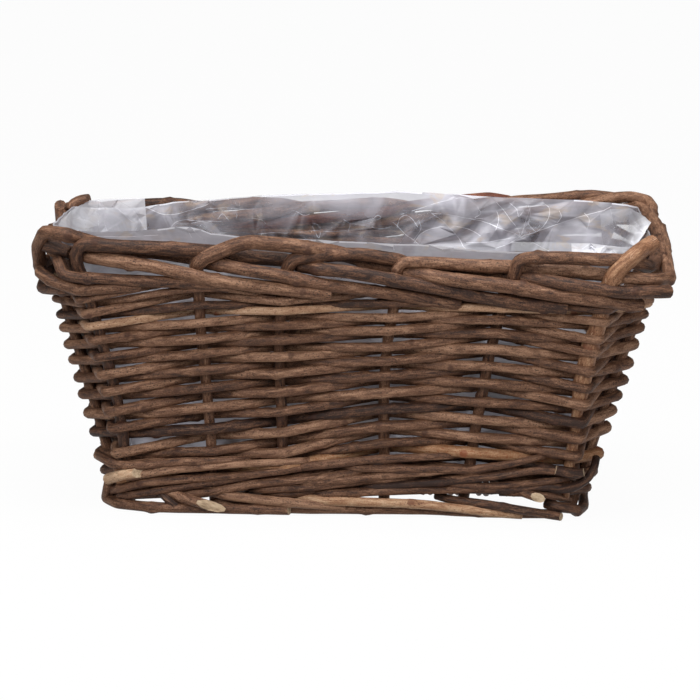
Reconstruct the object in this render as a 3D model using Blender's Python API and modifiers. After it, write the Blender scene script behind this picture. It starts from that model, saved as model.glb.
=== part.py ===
"""A rectangular planter of unpeeled willow with a loose film liner that lifts out.

Each stake is one rod: it stands in the foot, goes up through the siding and is bent over at the
rim, where the runs of neighbouring stakes lie on one another and make the border. Each row of
siding is one rod, woven once round in front of and behind the stakes. Metres, +Z up, the long
side along X. The front is towards -Y.
"""

import math

import bmesh
import bpy
from mathutils import Vector

# The whole planter, measured over the rods. It is widest where the border's rods first lie outside.
RIM_LENGTH = 0.400
RIM_WIDTH = 0.240
BASE_LENGTH = 0.300
BASE_WIDTH = 0.160
HEIGHT = 0.172
RIM_TWIST = 0.0055  # two opposite rim corners stand this much high, and two this much low
RIM_CORNER_RADIUS = 0.028
BASE_CORNER_RADIUS = 0.014

# Rods.
STAKE_DIAMETER = 0.007
WEAVER_DIAMETER = 0.0046
BASE_STICK_DIAMETER = 0.005
BASE_WEAVER_DIAMETER = 0.004
SEAT_GAP = 0.0003
LEAN_GAP = 0.0006  # between a leaning stake and a level rod, where the height's cut is longer
WEAVE_DIP = 0.0008  # a siding rod lies this much low in front of a stake, and this much high behind
ROD_ROUNDNESS = 1

# Where the stakes stand, as shares of the way round from the front's left end.
STAKE_SHARES = (
    -0.0092, 0.0543, 0.1025, 0.1716, 0.2346, 0.2971,
    0.3402, 0.3965, 0.4529,
    0.4959, 0.5543, 0.6127, 0.6711, 0.7295, 0.7879,
    0.8402, 0.8965, 0.9529,
)  # fmt: skip

# Heights of the wall's parts.
FOOT_FLAT_DEPTH = 0.0005  # pressed flat where the foot rods rest
STAKE_END_HEIGHT = 0.002
FIRST_ROW_HEIGHT = 0.011
BASE_HEIGHT = 0.015

# The border: how many spacings along from its stake, how far out and how far down a rod lies,
# out as a share of a rod laid against the stakes and down as a share of one rod on another.
# It bends over, goes behind two stakes and in front of two, and is cut off.
BORDER_SHARES = (
    (0.03, 0.0, 0.35), (0.10, 0.0, 0.0), (0.55, -0.1, 0.0), (1.0, -1.0, 0.12),
    (1.25, -1.0, 0.5), (1.75, -1.0, 0.95), (2.0, -1.0, 1.12), (2.25, -0.5, 1.42),
    (2.75, 0.6, 2.0), (3.0, 1.0, 2.15), (4.0, 1.0, 3.15), (4.4, 1.0, 3.55),
)  # fmt: skip
BEND_HEIGHT = 0.009

# The foot.
FOOT_END_HEIGHT = 0.020
FOOT_START_SHARES = (-0.022, 0.478)
FOOT_LENGTH_SHARE = 0.489
FOOT_RISE_SHARES = ((0.0, 1.0), (0.002, 0.35), (0.010, 0.0))

# The base.
BASE_STICK_SHARES = (-0.8, -0.4, 0.0, 0.4, 0.8)
BASE_WEAVER_PITCH = 0.0088

# The liner.
FILM_THICKNESS = 0.0006
FILM_SLACK = 0.0010  # past the rods that it lies against, which cut the corners a little
FILM_EDGE_WAVE = 0.0020
FILM_EDGE_WAVES = 7
FILM_WALL_SHARES = (0.0, 0.33, 0.66)
FILM_BORDER_SHARE = 0.82

CORNER_STEPS = 3
BARK = (0.16, 0.085, 0.055, 1)
DARK_BARK = (0.11, 0.055, 0.036, 1)
TAN_BARK = (0.26, 0.15, 0.085, 1)
FILM = (0.72, 0.72, 0.76, 0.35)

WRAP_OUT = STAKE_DIAMETER + LEAN_GAP  # a thick rod lying against the outside of the stakes
WEAVE_OUT = (STAKE_DIAMETER + WEAVER_DIAMETER) / 2 + LEAN_GAP
WALL_INSET = WRAP_OUT + STAKE_DIAMETER / 2
ROW_PITCH = WEAVER_DIAMETER + LEAN_GAP * 3 / 4
BORDER_DROP = STAKE_DIAMETER + LEAN_GAP + SEAT_GAP
BORDER_DEPTH = BORDER_DROP * BORDER_SHARES[-1][2]
BORDER_TOP = HEIGHT - STAKE_DIAMETER / 2
WIDEST_HEIGHT = BORDER_TOP - BORDER_DROP * next(down for _, out, down in BORDER_SHARES if out == 1)
FILM_OUT = -(WEAVE_OUT + WEAVER_DIAMETER / 2 + LEAN_GAP)
FILM_BORDER_OUT = -(WRAP_OUT + STAKE_DIAMETER / 2 + LEAN_GAP + FILM_SLACK)
BASE_WEAVE_RISE = (BASE_STICK_DIAMETER + BASE_WEAVER_DIAMETER) / 2 + LEAN_GAP
FILM_FLOOR = BASE_HEIGHT + BASE_WEAVE_RISE + BASE_WEAVER_DIAMETER / 2 + SEAT_GAP


def clear_scene():
    for thing in list(bpy.data.objects):
        bpy.data.objects.remove(thing, do_unlink=True)


def collection_of(name):
    made = bpy.data.collections.new(name)
    bpy.context.scene.collection.children.link(made)
    return made


def material_of(name, colour, roughness):
    made = bpy.data.materials.new(name)
    made.use_nodes = True
    shader = made.node_tree.nodes["Principled BSDF"]
    shader.inputs["Base Color"].default_value = (*colour[:3], 1)
    shader.inputs["Roughness"].default_value = roughness
    shader.inputs["Metallic"].default_value = 0
    shader.inputs["Alpha"].default_value = colour[3]
    made.diffuse_color = colour
    return made


def mix(low, high, share):
    return low + (high - low) * share


def wall_sizes(height):
    """Half the length, half the width and the corner radius of the wall's middle at a height."""
    share = height / WIDEST_HEIGHT
    return (
        mix(BASE_LENGTH, RIM_LENGTH, share) / 2 - WALL_INSET,
        mix(BASE_WIDTH, RIM_WIDTH, share) / 2 - WALL_INSET,
        mix(BASE_CORNER_RADIUS, RIM_CORNER_RADIUS, share),
    )


def runs():
    """Lengths at mid-height of the front, its corner, the right side, and so on round."""
    half_x, half_y, corner = wall_sizes(HEIGHT / 2)
    bend = corner * math.pi / 2
    return [2 * (half_x - corner), bend, 2 * (half_y - corner), bend] * 2


RUNS = runs()
ROUND = sum(RUNS)


def place(share, height, out):
    """The point at a share of the way round, a height, and a distance outside the wall's middle."""
    half_x, half_y, corner = wall_sizes(height)
    left = (share % 1) * ROUND
    index = 0
    while index < len(RUNS) - 1 and left > RUNS[index]:
        left -= RUNS[index]
        index += 1
    quarter, in_bend = divmod(index, 2)
    along = left / RUNS[index]
    across, deep = (half_x, half_y) if quarter % 2 == 0 else (half_y, half_x)
    if in_bend:
        turn = math.pi / 2 * (along - 1)
        x = across - corner + (corner + out) * math.cos(turn)
        y = corner - deep + (corner + out) * math.sin(turn)
    else:
        x = (across - corner) * (2 * along - 1)
        y = -deep - out
    for _ in range(quarter):
        x, y = -y, x
    climb = height / HEIGHT
    lift = RIM_TWIST * climb * climb * (x / half_x) * (y / half_y)
    return Vector((x, y, height + lift))


def corner_share(corner, step):
    """The share of the way round at one of the steps in which a corner is followed."""
    before = sum(RUNS[: 2 * corner + 1])
    return (before + RUNS[2 * corner + 1] * step / CORNER_STEPS) / ROUND


def corner_shares():
    """Shares of the way round at which the four corners are followed."""
    return [corner_share(corner, step) for corner in range(4) for step in range(CORNER_STEPS + 1)]


def stake_share(number):
    """The share of the way round of a stake, counted on past the last one."""
    turns, index = divmod(number, len(STAKE_SHARES))
    return STAKE_SHARES[index] + turns


def between(number):
    """The share of the way round at a number of stakes that may lie between two."""
    whole = math.floor(number)
    return mix(stake_share(whole), stake_share(whole + 1), number - whole)


def number_at(share):
    """How many stakes lie before a share of the way round."""
    turns = math.floor(share - STAKE_SHARES[0])
    index = turns * len(STAKE_SHARES)
    while stake_share(index + 1) <= share:
        index += 1
    return index + (share - stake_share(index)) / (stake_share(index + 1) - stake_share(index))


def stops(first, last, marks):
    """The given shares of the way round that lie between two, with those two as the ends.

    Of two that fall nearly on one another, such as a stake's and a corner's, only one is kept.
    """
    clear = STAKE_DIAMETER / ROUND / 4
    apart = SEAT_GAP / ROUND
    kept = [first]
    for mark in sorted(mark + turn for turn in (-1, 0, 1, 2) for mark in marks):
        if first + clear < mark < last - clear and mark - kept[-1] > apart:
            kept.append(mark)
    return [*kept, last]


def rod(name, points, diameter, material, group):
    """One willow rod: a round bar along the points, its ends cut square."""
    curve = bpy.data.curves.new(name, "CURVE")
    curve.dimensions = "3D"
    curve.bevel_depth = diameter / 2
    curve.bevel_resolution = ROD_ROUNDNESS
    curve.use_fill_caps = True
    line = curve.splines.new("POLY")
    line.points.add(len(points) - 1)
    for knot, point in zip(line.points, points):
        knot.co = (*point, 1)
    curve.materials.append(material)
    made = bpy.data.objects.new(name, curve)
    group.objects.link(made)
    return made


def as_mesh(curve_object, group):
    """The rod as a mesh with welded caps, so that it can be cut."""
    name = curve_object.name
    graph = bpy.context.evaluated_depsgraph_get()
    mesh = bpy.data.meshes.new_from_object(curve_object.evaluated_get(graph))
    matrix = curve_object.matrix_world.copy()
    bpy.data.objects.remove(curve_object, do_unlink=True)
    shape = bmesh.new()
    shape.from_mesh(mesh)
    bmesh.ops.remove_doubles(shape, verts=shape.verts, dist=SEAT_GAP / 100)
    bmesh.ops.recalc_face_normals(shape, faces=shape.faces)
    shape.to_mesh(mesh)
    shape.free()
    made = bpy.data.objects.new(name, mesh)
    made.matrix_world = matrix
    group.objects.link(made)
    return made


def border_place(along):
    """How far out and how far down a border rod lies at a number of spacings from its stake."""
    for before, after in zip(BORDER_SHARES, BORDER_SHARES[1:]):
        if along <= after[0]:
            break
    part = (along - before[0]) / (after[0] - before[0])
    return WRAP_OUT * mix(before[1], after[1], part), BORDER_DROP * mix(before[2], after[2], part)


def border_points(number):
    """A stake's line from the foot up, over the bend and along the rim."""
    share = stake_share(number)
    points = [place(share, STAKE_END_HEIGHT, 0), place(share, BORDER_TOP - BEND_HEIGHT, 0)]
    first, *middle, last = [between(number + along) for along, _, _ in BORDER_SHARES]
    for spot in stops(first, last, [*middle, *corner_shares()]):
        out, down = border_place(number_at(spot) - number)
        points.append(place(spot, BORDER_TOP - down, out))
    return points


def build_stakes(materials, group):
    for number in range(len(STAKE_SHARES)):
        rod(f"stake_{number + 1:02d}", border_points(number), STAKE_DIAMETER, materials[number % 3], group)


def row_points(row):
    """A siding rod's line, from behind one stake once round to behind it again."""
    height = FIRST_ROW_HEIGHT + ROW_PITCH * row
    half = len(STAKE_SHARES) // 2
    start = 2 * (4 * row % half) + (row + 1) % 2
    end_gap = SEAT_GAP / ROUND
    first = stake_share(start) + end_gap
    last = stake_share(start + len(STAKE_SHARES)) - end_gap
    points = []
    for spot in stops(first, last, [*STAKE_SHARES, *corner_shares()]):
        swing = math.cos(math.pi * (number_at(spot) + row))
        points.append(place(spot, height - WEAVE_DIP * swing, WEAVE_OUT * swing))
    return points


def build_siding(materials, group):
    top = BORDER_TOP - BORDER_DEPTH - SEAT_GAP - (STAKE_DIAMETER + WEAVER_DIAMETER) / 2
    for row in range(1 + math.floor((top - FIRST_ROW_HEIGHT) / ROW_PITCH)):
        rod(f"row_{row + 1:02d}", row_points(row), WEAVER_DIAMETER, materials[row * 2 % 3], group)


def build_foot(material, group, cutters):
    """Two thick rods that lie round the bottom outside the stakes, each with one end bent up."""
    bpy.ops.mesh.primitive_cube_add(size=1)
    ground = bpy.context.object
    ground.name = "ground_cutter"
    for owner in list(ground.users_collection):
        owner.objects.unlink(ground)
    cutters.objects.link(ground)
    ground.dimensions = (RIM_LENGTH, RIM_WIDTH, HEIGHT)
    ground.location.z = -HEIGHT / 2
    ground.display_type = "WIRE"
    ground.hide_render = True
    low = STAKE_DIAMETER / 2 - FOOT_FLAT_DEPTH
    raised_out = WEAVE_OUT + (WEAVER_DIAMETER + STAKE_DIAMETER) / 2 + SEAT_GAP
    for number, start in enumerate(FOOT_START_SHARES):
        points = [
            place(start + along, mix(low, FOOT_END_HEIGHT, up), mix(WRAP_OUT, raised_out, math.ceil(up)))
            for along, up in FOOT_RISE_SHARES
        ]
        first = start + FOOT_RISE_SHARES[-1][0]
        for spot in stops(first, start + FOOT_LENGTH_SHARE, [*STAKE_SHARES, *corner_shares()])[1:]:
            points.append(place(spot, low, WRAP_OUT))
        made = as_mesh(rod(f"foot_rod_{number + 1}", points, STAKE_DIAMETER, material, group), group)
        cut = made.modifiers.new("rest flat", "BOOLEAN")
        cut.operation = "DIFFERENCE"
        cut.solver = "EXACT"
        cut.object = ground


def build_base(stick_material, weaver_material, group):
    """Lengthwise sticks, and one long weaver that goes over and under them from end to end."""
    half_x, half_y, _ = wall_sizes(BASE_HEIGHT)
    stick_end = half_x + FILM_OUT - SEAT_GAP
    edge = half_y + FILM_OUT - SEAT_GAP - BASE_WEAVER_DIAMETER / 2
    rows = [edge * share for share in BASE_STICK_SHARES]
    for number, y in enumerate(rows):
        ends = [Vector((x, y, BASE_HEIGHT)) for x in (-stick_end, stick_end)]
        rod(f"base_stick_{number + 1}", ends, BASE_STICK_DIAMETER, stick_material, group)
    passes = math.floor(2 * (stick_end - BASE_WEAVER_DIAMETER) / BASE_WEAVER_PITCH)
    points = []
    for number in range(passes + 1):
        x = (number - passes / 2) * BASE_WEAVER_PITCH
        way = 1 if number % 2 == 0 else -1
        points.append(Vector((x, -edge * way, BASE_HEIGHT)))
        for index, y in enumerate(rows[::way]):
            rise = BASE_WEAVE_RISE * (1 if (index + number) % 2 == 0 else -1)
            points.append(Vector((x, y, BASE_HEIGHT + rise)))
        points.append(Vector((x, edge * way, BASE_HEIGHT)))
    rod("base_weaver", points, BASE_WEAVER_DIAMETER, weaver_material, group)


def film_piece(name, shape, material, group):
    """An open surface of film, given its thickness towards the inside of the planter."""
    mesh = bpy.data.meshes.new(name)
    shape.to_mesh(mesh)
    shape.free()
    mesh.materials.append(material)
    made = bpy.data.objects.new(name, mesh)
    group.objects.link(made)
    thick = made.modifiers.new("film", "SOLIDIFY")
    thick.thickness = FILM_THICKNESS
    thick.offset = -1
    thick.use_even_offset = True


def build_film_side(name, first, last, material, group):
    """One side of the liner, from the base up to the wavy cut edge."""
    clear = FILM_THICKNESS / ROUND
    spots = stops(first + clear, last - clear, [*STAKE_SHARES, *corner_shares()])
    flat = [(mix(FILM_FLOOR, HEIGHT, share), FILM_OUT) for share in FILM_WALL_SHARES]
    flat.append((mix(FILM_FLOOR, HEIGHT, FILM_BORDER_SHARE), FILM_BORDER_OUT))
    shape = bmesh.new()
    levels = [[shape.verts.new(place(spot, *level)) for spot in spots] for level in flat]
    edge = []
    for spot in spots:
        point = place(spot, HEIGHT, FILM_BORDER_OUT)
        point.z += FILM_EDGE_WAVE * math.sin(math.tau * FILM_EDGE_WAVES * spot)
        edge.append(shape.verts.new(point))
    levels.append(edge)
    for lower, upper in zip(levels, levels[1:]):
        for index in range(len(spots) - 1):
            shape.faces.new((lower[index], lower[index + 1], upper[index + 1], upper[index]))
    film_piece(name, shape, material, group)


def build_liner(material, group):
    """An open bag of film that stands on the base inside the weave: a floor and four sides."""
    shape = bmesh.new()
    outline = []
    for share in corner_shares():
        x, y, _ = place(share, FILM_FLOOR, FILM_OUT - FILM_THICKNESS - LEAN_GAP)
        outline.append(shape.verts.new((x, y, FILM_FLOOR)))
    shape.faces.new(list(reversed(outline)))
    film_piece("film_floor", shape, material, group)
    front_right, back_left = (corner_share(corner, CORNER_STEPS - 1) for corner in (0, 2))
    back_right, front_left = (corner_share(corner, 1) for corner in (1, 3))
    build_film_side("film_front", front_left - 1, front_right, material, group)
    build_film_side("film_right", front_right, back_right, material, group)
    build_film_side("film_back", back_right, back_left, material, group)
    build_film_side("film_left", back_left, front_left, material, group)


def main():
    clear_scene()
    group = collection_of("wicker_planter")
    cutters = collection_of("cutters")
    bark = material_of("bark", BARK, 0.62)
    dark = material_of("dark_bark", DARK_BARK, 0.68)
    tan = material_of("tan_bark", TAN_BARK, 0.55)
    film = material_of("film", FILM, 0.15)
    build_stakes((bark, dark, bark), group)
    build_siding((bark, dark, tan), group)
    build_foot(dark, group, cutters)
    build_base(dark, bark, group)
    build_liner(film, group)
    cutters.hide_render = True


main()
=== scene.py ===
"""The looks of a rectangular planter woven from unpeeled willow, with a loose film liner."""

import math

import bpy
import numpy as np
from mathutils import Matrix, Vector, geometry, noise


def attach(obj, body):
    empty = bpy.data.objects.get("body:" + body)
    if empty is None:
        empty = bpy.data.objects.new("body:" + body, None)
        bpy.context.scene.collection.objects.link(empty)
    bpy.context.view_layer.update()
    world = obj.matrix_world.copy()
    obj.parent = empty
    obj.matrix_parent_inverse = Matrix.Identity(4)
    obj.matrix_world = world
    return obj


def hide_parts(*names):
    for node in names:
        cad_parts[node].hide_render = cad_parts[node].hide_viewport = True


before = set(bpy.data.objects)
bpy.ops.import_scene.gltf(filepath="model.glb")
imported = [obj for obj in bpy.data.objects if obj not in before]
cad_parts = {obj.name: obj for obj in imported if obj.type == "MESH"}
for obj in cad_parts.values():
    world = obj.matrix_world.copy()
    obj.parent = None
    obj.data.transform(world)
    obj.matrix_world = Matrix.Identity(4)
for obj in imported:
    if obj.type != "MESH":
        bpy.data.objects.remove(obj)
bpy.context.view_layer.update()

# The camera, from where the rim and the base show in the photograph.
PHOTO_SIZE = 700
AIM = Vector((-0.0015, 0, 0.086))
AZIMUTH, ELEVATION, ROLL = 1.085, 10.51, 1.055
DISTANCE = 3.955
FOCAL_PIXELS = 6203
PHOTO_DROP = 8.3
SENSOR = 36

# The wall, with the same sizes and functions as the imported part.
RIM_LENGTH, RIM_WIDTH = 0.391, 0.240
BASE_LENGTH, BASE_WIDTH = 0.305, 0.160
HEIGHT = 0.172
RIM_TWIST = 0.0055
RIM_CORNER, BASE_CORNER = 0.028, 0.014
STAKE_THICK, WEAVER_THICK = 0.007, 0.0046
BASE_STICK_THICK, BASE_WEAVER_THICK = 0.005, 0.004
LEAN_GAP, SEAT_GAP = 0.0006, 0.0003
STAKES = (
    -0.0092, 0.0543, 0.1025, 0.1716, 0.2346, 0.2971,
    0.3402, 0.3965, 0.4529,
    0.4959, 0.5543, 0.6127, 0.6711, 0.7295, 0.7879,
    0.8402, 0.8965, 0.9529,
)
FRONT_STAKES = 6
ROWS = 25
WRAP_OUT = STAKE_THICK + LEAN_GAP
WEAVE_OUT = (STAKE_THICK + WEAVER_THICK) / 2 + LEAN_GAP
WALL_INSET = WRAP_OUT + STAKE_THICK / 2
BORDER_DROP = STAKE_THICK + LEAN_GAP + SEAT_GAP
BORDER_TOP = HEIGHT - STAKE_THICK / 2
WIDEST = BORDER_TOP - BORDER_DROP * 2.15
BORDER_LINE = (
    (0.03, 0.0, 0.35), (0.10, 0.0, 0.0), (0.55, -0.1, 0.0), (1.0, -1.0, 0.12), (1.25, -1.0, 0.5),
    (1.75, -1.0, 0.95), (2.0, -1.0, 1.12), (2.25, -0.5, 1.42), (2.75, 0.6, 2.0), (3.0, 1.0, 2.15),
    (4.0, 1.0, 3.15), (4.4, 1.0, 3.55),
)
BASE_HEIGHT = 0.015
WALL_SHIFT = -0.0012
RIM_FLARE, FLARE_START, FLARE_REACH = 0.0065, 0.140, 0.012  # the border stands out past the siding

# How a pixel's point on the wall is looked for, along its ray from near the basket.
SEARCH_START, SEARCH_STEPS, SEARCH_STRIDE = 0.30, 60, 0.8
CLOSE_ENOUGH, SHORTEST_STEP = 1e-5, 1e-4

# The six front stakes in the photograph's pixels, each from the top down.
STAKE_SIGHTS = (
    ((86, 285), (89, 296), (100, 333), (109, 364), (117, 399), (123.5, 440), (129, 485), (131, 510)),
    ((197, 285), (198.5, 296), (201, 331), (204, 361), (207, 398), (211, 440), (214, 490), (215, 510)),
    ((283, 285), (281, 300), (279.5, 349), (280, 384), (283, 443), (285, 490), (286, 510)),
    ((396, 285), (395, 300), (388, 338), (385, 368), (383.5, 401), (384, 452), (384, 510)),
    ((508, 285), (504, 296), (493, 342), (489, 357), (483, 392), (476, 427), (470, 465), (461, 510)),
    ((606, 290), (603, 305), (596, 331), (590, 345), (583, 378), (579, 397), (573, 440), (564, 500)),
)

# Where the siding crosses in front of the stakes, from the top down, in the photograph's pixels:
# the foremost stake of the left side, the six front ones and the foremost one of the right side.
# Every other row passes in front of every other stake.
CROSSINGS = {
    -1: (314.4, 328, 344, 360, 377.6, 394.4, 412.8, 432, 452.8, 470, 484, 497),
    0: (314, 327, 341, 358, 375.5, 392, 412, 429, 453.5, 467, 478, 487, 495),
    1: (305, 323, 339, 354, 370, 388, 408, 429, 451, 465, 477, 488),
    2: (302, 311, 326, 340, 357, 374, 392, 412, 433, 453, 468, 481, 494),
    3: (303, 318, 331, 347, 361, 376, 393, 409, 426, 443, 460, 479),
    4: (299, 308.5, 320, 333, 349, 366, 383, 402, 419, 437, 453, 470, 488),
    5: (310, 323, 340.5, 354, 372, 389, 406, 424, 440, 457, 473, 488),
    6: (294, 302, 314, 328, 344, 363, 380, 395, 410, 428, 453, 471, 487),
}
CORNER_OVERHANG = {0: -10, 5: 7}
BEHIND_SHARES = {0: 0.15, 1: 0.27, 2: 0.36, 3: 0.13, 4: 0.13, 5: 0.15}  # how far down from the row above
TOP_ROW_LIMIT = 0.1385
LOWEST_ROW = 0.0045


def blend_of(low, high, share):
    return low + (high - low) * share


def sight():
    """The camera's place and its right, up and forward directions."""
    turn, rise, roll = (math.radians(angle) for angle in (AZIMUTH, ELEVATION, ROLL))
    back = Vector((math.sin(turn) * math.cos(rise), -math.cos(turn) * math.cos(rise), math.sin(rise)))
    level = (-back).cross(Vector((0, 0, 1))).normalized()
    steep = level.cross(-back)
    right = level * math.cos(roll) + steep * math.sin(roll)
    up = steep * math.cos(roll) - level * math.sin(roll)
    return AIM + back * DISTANCE, right, up, -back


EYE, RIGHT, UP, FORWARD = sight()


def set_camera():
    lens = bpy.data.cameras.new("camera")
    lens.sensor_width = SENSOR
    lens.lens = FOCAL_PIXELS * SENSOR / PHOTO_SIZE
    lens.shift_y = PHOTO_DROP / PHOTO_SIZE
    camera = bpy.data.objects.new("camera", lens)
    bpy.context.scene.collection.objects.link(camera)
    turned = Matrix((RIGHT, UP, -FORWARD)).transposed().to_4x4()
    turned.translation = EYE
    camera.matrix_world = turned
    bpy.context.scene.camera = camera


def pixel_of(point):
    """Where a point shows in the photograph."""
    away = point - EYE
    deep = away.dot(FORWARD)
    return (
        PHOTO_SIZE / 2 + FOCAL_PIXELS * away.dot(RIGHT) / deep,
        PHOTO_SIZE / 2 - FOCAL_PIXELS * away.dot(UP) / deep + PHOTO_DROP,
    )


def ray_of(px, py):
    across = (px - PHOTO_SIZE / 2) / FOCAL_PIXELS
    down = (py - PHOTO_DROP - PHOTO_SIZE / 2) / FOCAL_PIXELS
    return (FORWARD + RIGHT * across - UP * down).normalized()


def wall_sizes(height):
    """Half the length, half the width and the corner radius of the wall's middle at a height."""
    share = height / WIDEST
    flare = RIM_FLARE * min(max((height - FLARE_START) / FLARE_REACH, 0), 1)
    return (
        blend_of(BASE_LENGTH, RIM_LENGTH, share) / 2 - WALL_INSET + flare,
        blend_of(BASE_WIDTH, RIM_WIDTH, share) / 2 - WALL_INSET,
        blend_of(BASE_CORNER, RIM_CORNER, share),
    )


def off_wall(point):
    """How far outside the wall's middle a point lies."""
    half_x, half_y, corner = wall_sizes(point.z)
    x = abs(point.x - WALL_SHIFT) - (half_x - corner)
    y = abs(point.y) - (half_y - corner)
    return math.hypot(max(x, 0), max(y, 0)) + min(max(x, y), 0) - corner


def seen(px, py, out):
    """The point at a distance outside the wall's middle that shows at a pixel of the photograph."""
    ray = ray_of(px, py)
    far = DISTANCE - SEARCH_START
    nearest = (DISTANCE, far)
    for _ in range(SEARCH_STEPS):
        gap = off_wall(EYE + ray * far) - out
        nearest = min(nearest, (abs(gap), far))
        if abs(gap) < CLOSE_ENOUGH:
            break
        far += max(gap, SHORTEST_STEP) * SEARCH_STRIDE
    return EYE + ray * nearest[1]


def at_depth(px, py, depth):
    """The point at a pixel of the photograph that lies a given distance behind the middle."""
    ray = ray_of(px, py)
    return EYE + ray * ((depth - EYE.y) / ray.y)


def wall_runs():
    half_x, half_y, corner = wall_sizes(HEIGHT / 2)
    bend = corner * math.pi / 2
    return [2 * (half_x - corner), bend, 2 * (half_y - corner), bend] * 2


RUNS = wall_runs()
ROUND = sum(RUNS)


def place(share, height, out):
    """The point at a share of the way round, a height, and a distance outside the wall's middle."""
    half_x, half_y, corner = wall_sizes(height)
    left = (share % 1) * ROUND
    index = 0
    while index < len(RUNS) - 1 and left > RUNS[index]:
        left -= RUNS[index]
        index += 1
    quarter, in_bend = divmod(index, 2)
    along = left / RUNS[index]
    across, deep = (half_x, half_y) if quarter % 2 == 0 else (half_y, half_x)
    if in_bend:
        turn = math.pi / 2 * (along - 1)
        x = across - corner + (corner + out) * math.cos(turn)
        y = corner - deep + (corner + out) * math.sin(turn)
    else:
        x = (across - corner) * (2 * along - 1)
        y = -deep - out
    for _ in range(quarter):
        x, y = -y, x
    climb = height / HEIGHT
    lift = RIM_TWIST * climb * climb * (x / half_x) * (y / half_y)
    return Vector((x + WALL_SHIFT, y, height + lift))


def stake_share(number):
    turns, index = divmod(number, len(STAKES))
    return STAKES[index] + turns


def between(number):
    whole = math.floor(number)
    return blend_of(stake_share(whole), stake_share(whole + 1), number - whole)


def height_seen_at(share, py, out):
    """The wall's height whose point at this share of the way round shows at a pixel row."""
    height = HEIGHT / 2
    for _ in range(5):
        height += (pixel_of(place(share, height, out))[1] - py) * DISTANCE / FOCAL_PIXELS
    return height


# Rods.
STEP = 0.0024
ROD_SIDES = 10
WAVE_LENGTH = 0.035
SWELLING_LENGTH, SWELLING = 0.02, 0.07
KNOT_SPACING, FIRST_KNOT = 0.055, 0.013
KNOT_LENGTH, KNOT_SWELLING = 0.0022, 0.11
LUMPS_ALONG, LUMPS_ACROSS, LUMP_RISE = 90, 420, 0.035
SCAR_LENGTH, SCAR_TURN, SCAR_RISE = 0.0025, 2.4, 0.22
CUT_REACH = 2.2
# Where a stake's upright ends, where its thicker run begins, and how much of that its tip keeps.
UPRIGHT_SHARE, BENT_SHARE, TIP_SWELL = 0.30, 0.38, 0.95
SPREAD, SECOND_SPREAD = 0.618, 0.414  # steps that scatter values evenly over a row of pieces
SAME_SPOT = 1e-6
SHARP_BEND = math.radians(50)


def smooth_line(points, bend):
    """Points at even steps along the straight runs between the given ones, rounded where they bend."""
    points = np.array([tuple(p) for p in points])
    lengths = np.r_[0, np.cumsum(np.linalg.norm(np.diff(points, axis=0), axis=1))]
    count = max(8, int(lengths[-1] / STEP))
    spots = np.linspace(0, lengths[-1], count)
    line = np.stack([np.interp(spots, lengths, points[:, k]) for k in range(3)], axis=1)
    reach = max(1, round(bend / STEP / 2))
    if count > 4 * reach:
        weights = np.hanning(2 * reach + 3)[1:-1]
        weights /= weights.sum()
        before = 2 * line[0] - line[reach:0:-1]
        after = 2 * line[-1] - line[-2 : -reach - 2 : -1]
        padded = np.concatenate([before, line, after])
        line = np.stack([np.convolve(padded[:, k], weights, "valid") for k in range(3)], axis=1)
    return line


def waver(count, waves, seed, size):
    """Slow, repeatable wavering of a value along a rod."""
    return np.array([noise.noise((seed * 7.31, k * waves / count, 0.5)) for k in range(count)]) * size


def rod_radius(spots, thick, taper, seed, knots, swell):
    """Half the rod's thickness along its length: tapering, a little uneven and thicker at its knots."""
    length = spots[-1]
    uneven = waver(len(spots), length / SWELLING_LENGTH, seed + 3, SWELLING)
    radius = thick / 2 * (1 - taper * spots / length) * (1 + uneven)
    if swell:
        marks = (0, UPRIGHT_SHARE, BENT_SHARE, 1)
        radius *= np.interp(spots / length, marks, (1, 1, swell, swell * TIP_SWELL))
    for knot in knots:
        radius *= 1 + KNOT_SWELLING * np.exp(-(((spots - knot) / KNOT_LENGTH) ** 2))
    return radius


def pick(made):
    """Adds a new object to the scene and makes it the only one that is chosen."""
    bpy.context.scene.collection.objects.link(made)
    bpy.ops.object.select_all(action="DESELECT")
    made.select_set(True)
    bpy.context.view_layer.objects.active = made


def merge_doubles(distance):
    bpy.ops.object.mode_set(mode="EDIT")
    bpy.ops.mesh.select_all(action="SELECT")
    bpy.ops.mesh.remove_doubles(threshold=distance)
    bpy.ops.object.mode_set(mode="OBJECT")


def round_tube(name, line, radius):
    """A closed tube along a line, with its own thickness at each point of it."""
    curve = bpy.data.curves.new(name, "CURVE")
    curve.dimensions = "3D"
    curve.bevel_depth = 1
    curve.bevel_resolution = (ROD_SIDES - 4) // 2
    curve.use_fill_caps = True
    spline = curve.splines.new("POLY")
    spline.points.add(len(line) - 1)
    spline.points.foreach_set("co", np.c_[line, np.ones(len(line))].ravel())
    spline.points.foreach_set("radius", radius)
    pick(bpy.data.objects.new(name, curve))
    bpy.ops.object.convert(target="MESH")
    return bpy.context.object


def rod(name, points, thick, material, ends, seed, bend=0.012, taper=0.25, wobble=0.0006, cuts=(0, 0),
        tone=0.5, swell=None):
    """One willow rod along the given points: tapering and slightly knotty, with cut ends and bark marks."""
    line = smooth_line(points, bend)
    count = len(line)
    length = count * STEP
    for axis in range(3):
        line[:, axis] += waver(count, length / WAVE_LENGTH, seed + axis * 0.37, wobble)
    spots = np.linspace(0, length, count)
    first = FIRST_KNOT + KNOT_SPACING * (seed * SPREAD % 1)
    knots = np.arange(first, length, KNOT_SPACING * (0.8 + seed * SECOND_SPREAD % 0.5))
    radius = rod_radius(spots, thick, taper, seed, knots, swell)
    made = round_tube(name, line, radius)
    shape_rod(made.data, line, radius, spots, seed, knots, cuts, tone)
    for finish in (material, ends):
        made.data.materials.append(finish)
    merge_doubles(SAME_SPOT)
    bpy.ops.object.shade_smooth_by_angle(angle=SHARP_BEND)
    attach(made, "basket")
    return made


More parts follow.
